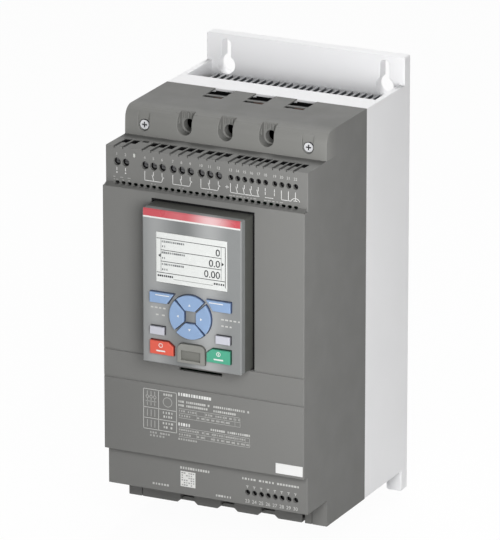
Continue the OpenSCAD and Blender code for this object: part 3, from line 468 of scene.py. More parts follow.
class Rounding:
    """A copy of a CAD node's mesh whose outer edges are rounded and whose flat faces stay flat.

    Every vertex on a rounded edge is split into one copy per face it borders, moved inwards by the
    radius. Flat faces are filled again inside their moved outlines, strips follow the edges and small
    fans close the corners. Normals are set one by one, so that the strips blend from face to face.
    """

    def __init__(self, node, radius, sharp=40.0, joints=(), front_only=False):
        self.radius = radius
        bm = bmesh.new()
        bm.from_mesh(NODES[node].data)
        bmesh.ops.remove_doubles(bm, verts=bm.verts, dist=1e-6)
        bmesh.ops.dissolve_degenerate(bm, dist=1e-7, edges=bm.edges)
        bmesh.ops.triangulate(bm, faces=bm.faces)
        bm.normal_update()
        bm.verts.index_update()
        bm.edges.index_update()
        bm.faces.index_update()
        self.round_edges = self.pick_edges(bm, math.radians(sharp), joints, front_only)
        self.pinned = set()
        for _ in range(5):
            self.build(bm)
            if self.narrow <= self.pinned:
                break
            self.pinned |= self.narrow
        bm.free()

    def build(self, bm):
        """One pass; vertices of faces too narrow for the radius are noted, to stay put in the next pass."""
        self.points, self.faces, self.normals = [], [], []
        self.copies, self.arcs, self.narrow = {}, {}, set()
        for vert in bm.verts:
            self.split(vert)
        self.fill_flats(bm)
        for edge in bm.edges:
            if edge.index in self.round_edges:
                self.strip(edge)
        for vert in bm.verts:
            self.corner(vert)

    def pick_edges(self, bm, sharp, joints, front_only):
        """Convex sharp edges, less those that lie against a neighbouring piece."""
        front = min(vert.co.y for vert in bm.verts) + 1e-5
        trees = [BVHTree.FromPolygons([v.co for v in mesh.vertices], [f.vertices for f in mesh.polygons])
                 for mesh in (NODES[name].data for name in joints)]
        chosen = set()
        for edge in bm.edges:
            if len(edge.link_faces) != 2 or not edge.is_convex or edge.calc_face_angle(0) < sharp:
                continue
            if front_only and max(vert.co.y for vert in edge.verts) > front:
                continue
            middle = (edge.verts[0].co + edge.verts[1].co) / 2
            if not any(tree.find_nearest(middle, 4e-5)[0] for tree in trees):
                chosen.add(edge.index)
        return chosen

    def point(self, co):
        self.points.append(co)
        return len(self.points) - 1

    def split(self, vert):
        """Copies of a vertex, one for each group of faces between rounded edges."""
        left = set(vert.link_faces)
        groups = []
        while left:
            group = [left.pop()]
            for face in group:
                for edge in face.edges:
                    if vert in edge.verts and edge.index not in self.round_edges:
                        for other in edge.link_faces:
                            if other in left:
                                left.remove(other)
                                group.append(other)
            groups.append(group)
        shared = None
        for group in groups:
            fixed = len(groups) == 1 or vert.index in self.pinned
            shift = Vector() if fixed else self.shift(vert, group)
            if shift.length < 1e-9:
                shared = self.point(vert.co.copy()) if shared is None else shared
                index = shared
            else:
                index = self.point(vert.co + shift)
            for face in group:
                near = [other.normal for other in group if other.normal.dot(face.normal) > 0.82]
                self.copies[vert.index, face.index] = (index, sum(near, Vector()).normalized())

    def shift(self, vert, group):
        """Move of one copy, inwards from both rounded edges of its group and within its faces."""
        inward = []
        for face in group:
            for edge in face.edges:
                if vert in edge.verts and edge.index in self.round_edges:
                    along = (edge.other_vert(vert).co - vert.co).normalized()
                    way = face.normal.cross(along)
                    if way.dot(face.calc_center_median() - vert.co) < 0:
                        way.negate()
                    inward.append(way)
        if len(inward) != 2 or 1 + inward[0].dot(inward[1]) < 0.15:
            return Vector()
        move = (inward[0] + inward[1]) / (1 + inward[0].dot(inward[1])) * self.radius
        if any(abs(move.dot(face.normal)) > 0.12 * self.radius for face in group):
            return Vector()
        return move

    def add(self, corners):
        """A face from pairs of vertex and normal, without repeated vertices."""
        kept = [c for n, c in enumerate(corners) if c[0] != corners[n - 1][0]]
        if len({c[0] for c in kept}) == len(kept) > 2:
            self.faces.append([c[0] for c in kept])
            self.normals.extend(c[1] for c in kept)

    def fill_flats(self, bm):
        """Fills each flat region inside its moved outline; curved faces keep their triangles."""
        seen = set()
        for start in bm.faces:
            if start in seen:
                continue
            region = [start]
            seen.add(start)
            for face in region:
                for edge in face.edges:
                    for other in edge.link_faces:
                        if other not in seen and other.normal.dot(start.normal) > 0.999998:
                            seen.add(other)
                            region.append(other)
            if len(region) > 2 and self.fill(region, start.normal.copy()):
                continue
            for face in region:
                corners = [self.copies[v.index, face.index] for v in face.verts]
                a, b, c = (self.points[index] for index, _ in corners)
                if len(region) > 2 or (b - a).cross(c - a).dot(face.normal) < 0.2 * face.calc_area():
                    self.narrow |= {v.index for v in face.verts}
                self.add(corners)

    def fill(self, region, normal):
        members = set(region)
        across = normal.orthogonal().normalized()
        up = normal.cross(across)
        flat, index_of, edges, area = [], {}, [], 0.0
        for face in region:
            for loop in face.loops:
                if any(other in members for other in loop.edge.link_faces if other is not face):
                    continue
                pair = []
                for vert in (loop.vert, loop.link_loop_next.vert):
                    index = self.copies[vert.index, face.index][0]
                    if index not in index_of:
                        index_of[index] = len(flat)
                        co = self.points[index]
                        flat.append(Vector((co.dot(across), co.dot(up))))
                    pair.append(index_of[index])
                if pair[0] != pair[1]:
                    edges.append(pair)
                    a, b = flat[pair[0]], flat[pair[1]]
                    area += (a.x * b.y - b.x * a.y) / 2
        depth = self.points[next(iter(index_of))].dot(normal)
        verts, _, faces, origin, _, _ = delaunay_2d_cdt(flat, edges, [], 0, 1e-9)
        back = {n: index for index, n in index_of.items()}
        ids = [back[o[0]] if o else self.point(across * v.x + up * v.y + normal * depth)
               for v, o in zip(verts, origin)]
        inside, total = [], 0.0
        for tri in faces:
            middle = sum((verts[n] for n in tri), Vector((0, 0))) / 3
            if self.within(middle, flat, edges):
                a, b, c = (verts[n] for n in tri)
                total += abs((b - a).cross(c - a)) / 2
                inside.append(tri if (b - a).cross(c - a) > 0 else tri[::-1])
        if area <= 0 or abs(total - area) > 0.02 * area + 1e-9:
            return False
        for tri in inside:
            self.add([(ids[n], normal) for n in tri])
        return True

    @staticmethod
    def within(spot, flat, edges):
        """Even-odd test of a point against the outline's edges."""
        odd = False
        for a, b in edges:
            a, b = flat[a], flat[b]
            if (a.y > spot.y) != (b.y > spot.y) and spot.x < a.x + (spot.y - a.y) * (b.x - a.x) / (b.y - a.y):
                odd = not odd
        return odd

    def arc(self, vert, edge):
        """Three points over a rounded edge at one vertex, from the edge's first face to its second."""
        first, second = edge.link_faces
        a, b = self.copies[vert.index, first.index], self.copies[vert.index, second.index]
        key = (vert.index, min(a[0], b[0]), max(a[0], b[0]))
        if key not in self.arcs:
            if a[0] == b[0]:
                self.arcs[key] = a[0]
            else:
                middle = (self.points[a[0]] + self.points[b[0]]) / 2
                self.arcs[key] = self.point(vert.co + (middle - vert.co) * 0.586)
        return [a, (self.arcs[key], (a[1] + b[1]).normalized()), b]

    def strip(self, edge):
        loop = next(l for l in edge.link_faces[0].loops if l.edge is edge)
        start, end = self.arc(loop.vert, edge), self.arc(loop.link_loop_next.vert, edge)
        for n in (0, 1):
            self.add([end[n], start[n], start[n + 1], end[n + 1]])

    def corner(self, vert):
        """Closes the gap at a vertex where three or more rounded edges meet."""
        edges = [edge for edge in vert.link_edges if edge.index in self.round_edges]
        if len({self.copies[vert.index, face.index][0] for face in vert.link_faces}) < 3:
            return
        pairs = {}
        for edge in edges:
            ends = self.arc(vert, edge)
            loop = next(l for l in edge.link_faces[0].loops if l.edge is edge)
            if loop.vert is vert:
                ends = ends[::-1]
            pairs[ends[0][0]] = ends
        start = next(iter(pairs))
        outline, spot = [], start
        while spot in pairs:
            ends = pairs.pop(spot)
            outline += ends[:2]
            spot = ends[2][0]
        spots = [self.points[c[0]] for c in outline]
        normal = sum((c[1] for c in outline), Vector()).normalized()
        centre = sum(spots, Vector()) / len(spots)
        top = (self.point(centre + (vert.co - centre) * 0.12), normal)
        for n in range(len(outline)):
            self.add([top, outline[n - 1], outline[n]])

    def mesh(self, name):
        mesh = bpy.data.meshes.new(name)
        used = sorted({index for face in self.faces for index in face})
        place = {index: n for n, index in enumerate(used)}
        mesh.from_pydata([self.points[index] for index in used], [],
                         [[place[index] for index in face] for face in self.faces])
        mesh.polygons.foreach_set("use_smooth", [True] * len(mesh.polygons))
        mesh.normals_split_custom_set([tuple(normal) for normal in self.normals])
        return mesh


def softened(node, mat, radius, sharp=40, joints=(), front_only=False):
    """Stands for a CAD node with its outer edges rounded, as a moulding has them."""
    shape = Rounding(node, radius, sharp, [name for name in joints if name != node], front_only)
    obj = new_object(node + "_soft", shape.mesh(node + "_soft"), mat)
    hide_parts(node)
    return finished(obj, BODY_OF[node])


class Print:
    """Flat ink on a face that looks to the front: shapes in X and Z, millimetres, on a plane Y."""

    def __init__(self, y, thick=INK_T):
        self.y = y
        self.thick = thick
        self.polys = []

    def poly(self, points):
        area = sum(a[0] * b[1] - b[0] * a[1] for a, b in zip(points, points[1:] + points[:1]))
        self.polys.append(points if area > 0 else points[::-1])

    def rect(self, x0, x1, z0, z1):
        self.poly([(x0, z0), (x1, z0), (x1, z1), (x0, z1)])

    def line(self, points, width):
        for (x0, z0), (x1, z1) in zip(points, points[1:]):
            length = math.hypot(x1 - x0, z1 - z0)
            ux, uz = (x1 - x0) / length * width / 2, (z1 - z0) / length * width / 2
            self.poly([(x0 - ux + uz, z0 - uz - ux), (x0 - ux - uz, z0 - uz + ux),
                       (x1 + ux - uz, z1 + uz + ux), (x1 + ux + uz, z1 + uz - ux)])

    @staticmethod
    def around(x, z, radius, turn):
        return x + radius * math.cos(turn), z + radius * math.sin(turn)

    def ring(self, x, z, radius, width, start=0, end=360, steps=28):
        turn = [math.radians(start + (end - start) * i / steps) for i in range(steps + 1)]
        for a, b in zip(turn, turn[1:]):
            inner, outer = radius - width / 2, radius + width / 2
            self.poly([self.around(x, z, inner, a), self.around(x, z, outer, a),
                       self.around(x, z, outer, b), self.around(x, z, inner, b)])

    def disc(self, x, z, radius, steps=18):
        self.poly([self.around(x, z, radius, math.tau * i / steps) for i in range(steps)])

    def number(self, words, x, z, height, align="CENTER", bold=0.0):
        """Plain digits, from Blender's own font, as flat faces."""
        curve = bpy.data.curves.new("digits", "FONT")
        curve.body = words
        curve.offset = bold
        curve.size = height / 0.7
        curve.align_x = align
        curve.resolution_u = 3
        holder = bpy.data.objects.new("digits", curve)
        bpy.context.scene.collection.objects.link(holder)
        graph = bpy.context.evaluated_depsgraph_get()
        mesh = bpy.data.meshes.new_from_object(holder.evaluated_get(graph))
        for face in mesh.polygons:
            spots = [mesh.vertices[v].co for v in face.vertices]
            self.poly([(x + spot.x, z - height / 2 + spot.y) for spot in spots])
        bpy.data.objects.remove(holder)
        bpy.data.curves.remove(curve)
        bpy.data.meshes.remove(mesh)

    def build(self, name, mat, body, slot, turn=None):
        """The print as a mesh; a turn lays it on another face."""
        bm = bmesh.new()
        for points in self.polys:
            low = [bm.verts.new((px * MM, self.y * MM, pz * MM)) for px, pz in points]
            top = [bm.verts.new((px * MM, (self.y - self.thick) * MM, pz * MM)) for px, pz in points]
            bm.faces.new(top)
            bm.faces.new(low[::-1])
            for i in range(len(points)):
                j = (i + 1) % len(points)
                bm.faces.new((low[i], low[j], top[j], top[i]))
        mesh = bpy.data.meshes.new(name)
        bm.to_mesh(mesh)
        bm.free()
        if turn:
            mesh.transform(turn)
        return finished(new_object(name, mesh, mat), body)


def dash_tree():
    """Geometry nodes for rows of broken lines that stand for small print."""
    tree = bpy.data.node_groups.get("dash_rows")
    if tree:
        return tree
    tree = bpy.data.node_groups.new("dash_rows", "GeometryNodeTree")
    sides = tree.interface
    for label, kind, value in (("Width", "NodeSocketFloat", 0.03), ("Height", "NodeSocketFloat", 0.01),
                               ("Columns", "NodeSocketInt", 8), ("Rows", "NodeSocketInt", 3),
                               ("Dash height", "NodeSocketFloat", 0.0008),
                               ("Thickness", "NodeSocketFloat", 0.00006),
                               ("Fill", "NodeSocketFloat", 0.8), ("Seed", "NodeSocketInt", 1)):
        sides.new_socket(label, in_out="INPUT", socket_type=kind).default_value = value
    sides.new_socket("Ink", in_out="INPUT", socket_type="NodeSocketMaterial")
    sides.new_socket("Geometry", in_out="OUTPUT", socket_type="NodeSocketGeometry")
    add = tree.nodes.new
    given = add("NodeGroupInput")
    grid = add("GeometryNodeMeshGrid")
    link(tree, given.outputs["Width"], grid.inputs["Size X"])
    link(tree, given.outputs["Height"], grid.inputs["Size Y"])
    link(tree, given.outputs["Columns"], grid.inputs["Vertices X"])
    link(tree, given.outputs["Rows"], grid.inputs["Vertices Y"])
    pitch = add("ShaderNodeMath")
    pitch.operation = "DIVIDE"
    link(tree, given.outputs["Width"], pitch.inputs[0])
    link(tree, given.outputs["Columns"], pitch.inputs[1])
    size = add("ShaderNodeCombineXYZ")
    link(tree, pitch.outputs[0], size.inputs["X"])
    link(tree, given.outputs["Dash height"], size.inputs["Y"])
    link(tree, given.outputs["Thickness"], size.inputs["Z"])
    bar = add("GeometryNodeMeshCube")
    link(tree, size.outputs[0], bar.inputs["Size"])
    spread = add("FunctionNodeRandomValue")
    spread.data_type = "FLOAT_VECTOR"
    spread.inputs[0].default_value = (0.45, 1, 1)
    spread.inputs[1].default_value = (1.0, 1, 1)
    link(tree, given.outputs["Seed"], spread.inputs["Seed"])
    keep = add("FunctionNodeRandomValue")
    keep.data_type = "BOOLEAN"
    link(tree, given.outputs["Fill"], keep.inputs["Probability"])
    link(tree, given.outputs["Seed"], keep.inputs["Seed"])
    copies = add("GeometryNodeInstanceOnPoints")
    link(tree, grid.outputs["Mesh"], copies.inputs["Points"])
    link(tree, keep.outputs[3], copies.inputs["Selection"])
    link(tree, bar.outputs["Mesh"], copies.inputs["Instance"])
    link(tree, spread.outputs[0], copies.inputs["Scale"])
    solid = add("GeometryNodeRealizeInstances")
    link(tree, copies.outputs["Instances"], solid.inputs["Geometry"])
    inked = add("GeometryNodeSetMaterial")
    link(tree, solid.outputs["Geometry"], inked.inputs["Geometry"])
    link(tree, given.outputs["Ink"], inked.inputs["Material"])
    result = add("NodeGroupOutput")
    link(tree, inked.outputs["Geometry"], result.inputs["Geometry"])
    return tree


def dash_rows(name, x0, x1, z0, z1, y, rows, columns, height, mat, body, fill=0.85, seed=1):
    """Rows of broken lines in a field of a front face."""
    tree = dash_tree()
    mesh = bpy.data.meshes.new(name)
    obj = bpy.data.objects.new(name, mesh)
    bpy.context.scene.collection.objects.link(obj)
    rows_mod = obj.modifiers.new("rows", "NODES")
    rows_mod.node_group = tree
    values = {"Width": (x1 - x0) * MM, "Height": max(z1 - z0, 0.01) * MM, "Columns": columns, "Rows": rows,
              "Dash height": height * MM, "Thickness": 2 * INK_T * MM, "Fill": fill, "Seed": seed, "Ink": mat}
    for item in tree.interface.items_tree:
        if item.item_type == "SOCKET" and item.in_out == "INPUT":
            rows_mod[item.identifier] = values[item.name]
    obj.update_tag()
    baked(obj)
    place = Matrix.Translation(((x0 + x1) / 2 * MM, y * MM, (z0 + z1) / 2 * MM))
    obj.data.transform(place @ Matrix.Rotation(math.radians(90), 4, "X"))
    if not obj.data.polygons:
        raise RuntimeError(name + " has no dashes")
    return finished(obj, body)


# Operators


class Dressing:
    """Shared settings of the dressing operators."""

    bl_options = {"REGISTER", "UNDO"}

    def execute(self, context):
        look = context.scene.soft_starter_look
        self.dress(look, finishes(look))
        return {"FINISHED"}


class SOFTSTART_OT_covers(Dressing, bpy.types.Operator):
    """Rounds and finishes the moulded housing and covers"""

    bl_idname = "softstart.covers"
    bl_label = "Moulded Covers"

    def dress(self, look, mats):
        for node in ("front_cover", "lower_cover"):
            softened(node, mats["front"], look.cover_edge * 0.7, joints=COVERS)
        for node, finish in (("housing", "rear"), ("line_cover", "hood"), ("load_cover", "rear")):
            softened(node, mats[finish], look.cover_edge, joints=COVERS)
        softened("id_label", mats["label"], 0.00012)
        paint("status_light", mats["light"])
        paint("cover_screws", mats["bright_zinc"])


class SOFTSTART_OT_chassis(Dressing, bpy.types.Operator):
    """Paints the chassis and finishes heat sink and fans"""

    bl_idname = "softstart.chassis"
    bl_label = "Chassis and Cooling"

    def dress(self, look, mats):
        softened("chassis", mats["paint"], look.cover_edge * 1.4,
                 joints=("housing", "line_cover", "load_cover"))
        paint("heat_sink", mats["aluminium"])
        paint("fan_tray", mats["sheet"])
        for side in ("left", "right"):
            paint("fan_frame_" + side, mats["black"])
            paint("fan_rotor_" + side, mats["black"])
        paint("fan_screws", mats["zinc"])


class SOFTSTART_OT_power(Dressing, bpy.types.Operator):
    """Finishes the power section and the boards"""

    bl_idname = "softstart.power"
    bl_label = "Power Section"

    def dress(self, look, mats):
        for i in "123":
            paint("thyristor_" + i, mats["module"])
            for side in ("line", "load"):
                paint(side + "_bar_" + i, mats["copper"])
                paint(side + "_clamp_" + i, mats["clamp"])
        for node in ("module_screws", "clamp_screws"):
            paint(node, mats["zinc"])
        for node in ("current_sensor", "bypass_contactor"):
            paint(node, mats["black"])
        # The insulating sheet is deep black: partly its own black, partly painted shade for the dark inside
        # behind the top cut-outs
        paint("insulating_sheet", mats["deep_black"])
        for node in ("power_board", "control_board", "keypad_board"):
            paint(node, mats["board"])


class SOFTSTART_OT_terminals(Dressing, bpy.types.Operator):
    """Finishes the control terminals and prints their numbers and contact signs"""

    bl_idname = "softstart.terminals"
    bl_label = "Control Terminals"

    def dress(self, look, mats):
        for row in ("supply", "relays", "signals", "lower"):
            paint("terminal_block_" + row, mats["deep_black"])
        # Both screw finishes carry painted shade for the dark terminal holes
        paint("terminal_screws_large", mats["grey_screw"])
        paint("terminal_screws_small", mats["dark_screw"])
        self.numbers(mats)
        self.signs(mats)
        self.grooves(mats)
        supply = (SUPPLY_X[0] - 2.0, SUPPLY_X[1] + 2.6)
        captions = [(*supply, 96.6, 5), (*supply, 94.8, 6)]
        captions += [(row[1] - 1.2, row[1] + 1.2, 95.0, 2) for row in RELAY_X]
        captions += [(INPUT_X[0], INPUT_X[4], 95.0, 9), (INPUT_X[5], OUTPUT_X[1], 95.0, 5)]
        for i, (x0, x1, z, columns) in enumerate(captions):
            dash_rows("terminal_caption_%d" % i, x0, x1, z, z, CTRL_Y, 1, columns, 0.55, mats["faint_ink"],
                      "base", 0.9, look.print_seed + i)

    def numbers(self, mats):
        ink = Print(CTRL_Y)
        for i, x in enumerate(SUPPLY_X):
            ink.number(str(i + 1), x, TERM_Z + 5.6, 1.9)
        for i, x in enumerate(sum(RELAY_X, [])):
            ink.number(str(i + 4), x, TERM_Z + 5.6, 1.9)
        for i, x in enumerate(INPUT_X + OUTPUT_X):
            ink.number(str(i + 13), x, TERM_Z + 5.4, 1.9)
        ink.build("terminal_numbers", mats["pale_ink"], "base", "front_plastic")
        low = Print(STRIP_Y)
        for i, x in enumerate(LOWER_X):
            low.number(str(i + 23), x, LOW_TERM_Z - 6.0, 2.5)
        low.build("lower_numbers", mats["pale_ink"], "base", "front_plastic")

    def grooves(self, mats):
        """Painted shade: dark strips over the ledge's lead-in grooves and over the small slot above the
        status light.
        """
        ink = Print(0)
        for row, pitch in ((SUPPLY_X + sum(RELAY_X, []), LARGE_PITCH), (INPUT_X + OUTPUT_X, SMALL_PITCH)):
            for x in row:
                left = x - pitch * SLOT_SHARE / 2
                ink.rect(left, left + GROOVE_W, CTRL_Y + 0.3, SLOT_Y)
        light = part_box("status_light")
        middle = (light[0][0] + light[1][0]) / 2 / MM
        ink.rect(middle - LIGHT_SLOT_X, middle + LIGHT_SLOT_X, *LIGHT_SLOT_Y)
        ledge = Matrix.Translation((0, 0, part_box("front_cover")[1][2]))
        ink.build("ledge_groove_painted_shade", mats["groove"], "base", "front_plastic",
                  ledge @ Matrix.Rotation(math.radians(-90), 4, "X"))

    def signs(self, mats):
        ink = Print(CTRL_Y)
        pen = 0.42
        top, arm, bus = TERM_Z - 4.0, TERM_Z - 6.4, TERM_Z - 10.2
        for x in SUPPLY_X:
            ink.line([(x, top), (x, top - 1.8)], pen)
            ink.disc(x, top - 3.4, 0.5)
        for x0, x1, x2 in RELAY_X:
            ink.line([(x0, top), (x0, bus), (x2 - 0.4, bus)], pen)
            ink.line([(x1, top), (x1, arm)], pen)
            ink.line([(x1 - 0.9, arm + 0.4), (x1 + 0.2, bus)], pen)
            ink.line([(x2, top), (x2, arm)], pen)
            ink.line([(x2, arm + 0.3), (x2 + 1.3, arm - 0.6)], pen)
            ink.line([(x2 + 0.7, arm - 0.4), (x2 - 0.4, bus)], pen)
        ink.line([(INPUT_X[0], top), (INPUT_X[0], bus), (INPUT_X[4] + 0.6, bus)], pen)
        for x in INPUT_X[1:5]:
            ink.line([(x, top), (x, arm)], pen)
            ink.line([(x - 1.0, arm + 0.5), (x + 0.1, bus)], pen)
        ink.line([(INPUT_X[0] - 2.6, arm + 0.6), (INPUT_X[0] - 2.6, arm - 1.2)], pen)
        ink.line([(INPUT_X[0] - 3.6, arm - 0.3), (INPUT_X[0] - 1.4, arm - 0.3)], pen)
        dash = 0.9
        for i in range(4):
            x = INPUT_X[5] + i * 1.6
            ink.line([(x, bus), (x + dash, bus)], pen)
        for x in (INPUT_X[5], OUTPUT_X[0]):
            ink.line([(x, top), (x, top - 1.6)], pen)
            ink.line([(x, top - 2.6), (x, top - 4.2)], pen)
        for x in OUTPUT_X[1:3]:
            ink.line([(x, top), (x, bus)], pen)
        ink.line([(OUTPUT_X[1], bus), (OUTPUT_X[2] + 1.6, bus)], pen)
        x = OUTPUT_X[3]
        ink.line([(x, top), (x, bus + 0.4)], pen)
        ink.ring(x, bus - 1.2, 3.4, pen, 20, 160, 14)
        ink.line([(x - 1.2, bus + 0.4), (x + 1.2, bus + 0.4)], pen)
        ink.build("contact_signs", mats["ink"], "base", "front_plastic")


class SOFTSTART_OT_prints(Dressing, bpy.types.Operator):
    """Prints the generic fields of the lower cover"""

    bl_idname = "softstart.prints"
    bl_label = "Lower Cover Prints"

    def dress(self, look, mats):
        self.wiring_table(mats)
        self.rating_fields(look, mats)
        self.strip(look, mats)

    def wiring_table(self, mats):
        """Ruled table with plain signs, left of the rating fields."""
        ink = Print(COVER_Y)
        pen = 0.42
        left, middle, right, top, low = -45.0, -33.6, -20.1, -48.7, -77.2
        for x in (left, middle, right):
            ink.line([(x, top), (x, low)], pen)
        for z in (top, low, -61.8, -69.4):
            ink.line([(left, z), (right, z)], pen)
        ink.build("wiring_table", mats["pale_ink"], "base", "front_plastic")
        ink = Print(COVER_Y)
        pen = 0.5
        for i in range(3):
            x = left + 2.9 + 2.8 * i
            ink.line([(x, top - 1.6), (x, top - 4.0)], pen)
            ink.ring(x, top - 5.4, 1.0, pen, steps=12)
            ink.line([(x, top - 6.8), (x, top - 11.4)], pen)
            ink.line([(x, -63.4), (x, -67.8)], pen)
            ink.line([(x, -71.0), (x, -75.6)], pen)
        ink.line([(left + 2.0, top - 8.6), (left + 9.4, top - 8.6)], pen)
        ink.ring((middle + right) / 2, top - 7.6, 3.3, pen, steps=20)
        ink.build("wiring_signs", mats["faint_ink"], "base", "front_plastic")

    def rating_fields(self, look, mats):
        """Ruled lines and broken lines where the ratings stand."""
        ink = Print(COVER_Y)
        pen = 0.34
        left = -18.2
        for top, right, bars in ((-59.2, 27.6, (-4.9, 1.4, 15.8, 23.7, 27.6)),
                                 (-72.6, 34.6, (-4.9, 1.2, 8.0, 15.9, 23.6, 31.4, 34.6))):
            for n in range(3):
                ink.line([(left, top - 3.3 * n), (right, top - 3.3 * n)], pen)
            for x in bars:
                ink.line([(x, top), (x, top - 6.6)], pen)
        ink.build("rating_lines", mats["faint_ink"], "base", "front_plastic")
        bold = ((left, 5.0, -49.0, 13), (left, -10.6, -70.4, 5))
        plain = ((left, 4.0, -54.1, 16), (left, 2.6, -56.8, 15), (8.1, 35.2, -54.1, 18),
                 (8.1, 23.7, -57.2, 11), (6.0, 34.4, -70.8, 19), (-29.4, -24.0, -51.0, 4),
                 (-30.0, -23.6, -64.0, 4), (-29.4, -24.0, -66.8, 4), (-30.0, -23.6, -71.6, 4),
                 (-29.4, -24.0, -74.4, 4))
        small = ((left + 0.4, -6.0, -60.8, 8), (2.4, 15.0, -60.8, 8), (17.0, 27.0, -60.8, 4),
                 (left + 0.4, -10.2, -64.1, 5), (-4.0, 22.0, -64.1, 8), (left + 0.4, -6.0, -74.2, 8),
                 (-4.0, 7.0, -74.2, 4), (9.0, 31.0, -74.2, 14), (left + 0.4, -8.2, -77.6, 6),
                 (-4.0, 33.6, -77.6, 11), (left, -5.4, -81.0, 8), (-39.6, -26.0, -79.4, 8),
                 (-39.6, -30.0, -81.6, 5))
        rows = (("ink", 2.2, 1.0, bold), ("pale_ink", 1.5, 0.95, plain), ("faint_ink", 1.3, 0.95, small))
        for tone, height, fill, fields in rows:
            for i, (x0, x1, z, columns) in enumerate(fields):
                dash_rows("rating_%s_%d" % (tone, i), x0, x1, z, z, COVER_Y, 1, columns, height, mats[tone],
                          "base", fill, look.print_seed + 16 + i)

    def strip(self, look, mats):
        """Captions, a plain terminal sign and a blank code field over the lower terminals."""
        captions = ((-19.8, 1.0, -103.8, 12, 1.7), (-40.7, -29.9, -118.4, 6, 1.4),
                    (7.0, 17.3, -119.7, 6, 1.4), (26.7, 35.4, -104.2, 5, 1.4),
                    (39.6, 49.2, -104.2, 5, 1.4), (53.0, 67.9, -104.2, 8, 1.4))
        for i, (x0, x1, z, columns, height) in enumerate(captions):
            dash_rows("strip_print_%d" % i, x0, x1, z, z, STRIP_Y, 1, columns, height, mats["pale_ink"],
                      "base", 1.0, look.print_seed + 40 + i)
        ink = Print(STRIP_Y)
        for x in LOWER_X:
            ink.rect(x - 0.9, x + 0.9, LOW_TERM_Z + 4.6, LOW_TERM_Z + 5.0)
            ink.rect(x - 0.2, x + 0.2, LOW_TERM_Z + 3.2, LOW_TERM_Z + 4.6)
        ink.build("terminal_signs", mats["pale_ink"], "base", "front_plastic")
        field = Print(STRIP_Y)
        field.rect(-20.2, -9.0, -117.2, -106.2)
        field.build("code_field", mats["ink"], "base", "front_plastic")
        dash_rows("code_dashes", -18.9, -10.3, -116.0, -107.4, STRIP_Y - INK_T, 6, 6, 0.9, mats["soft_grey"],
                  "base", 0.6, look.print_seed + 60)


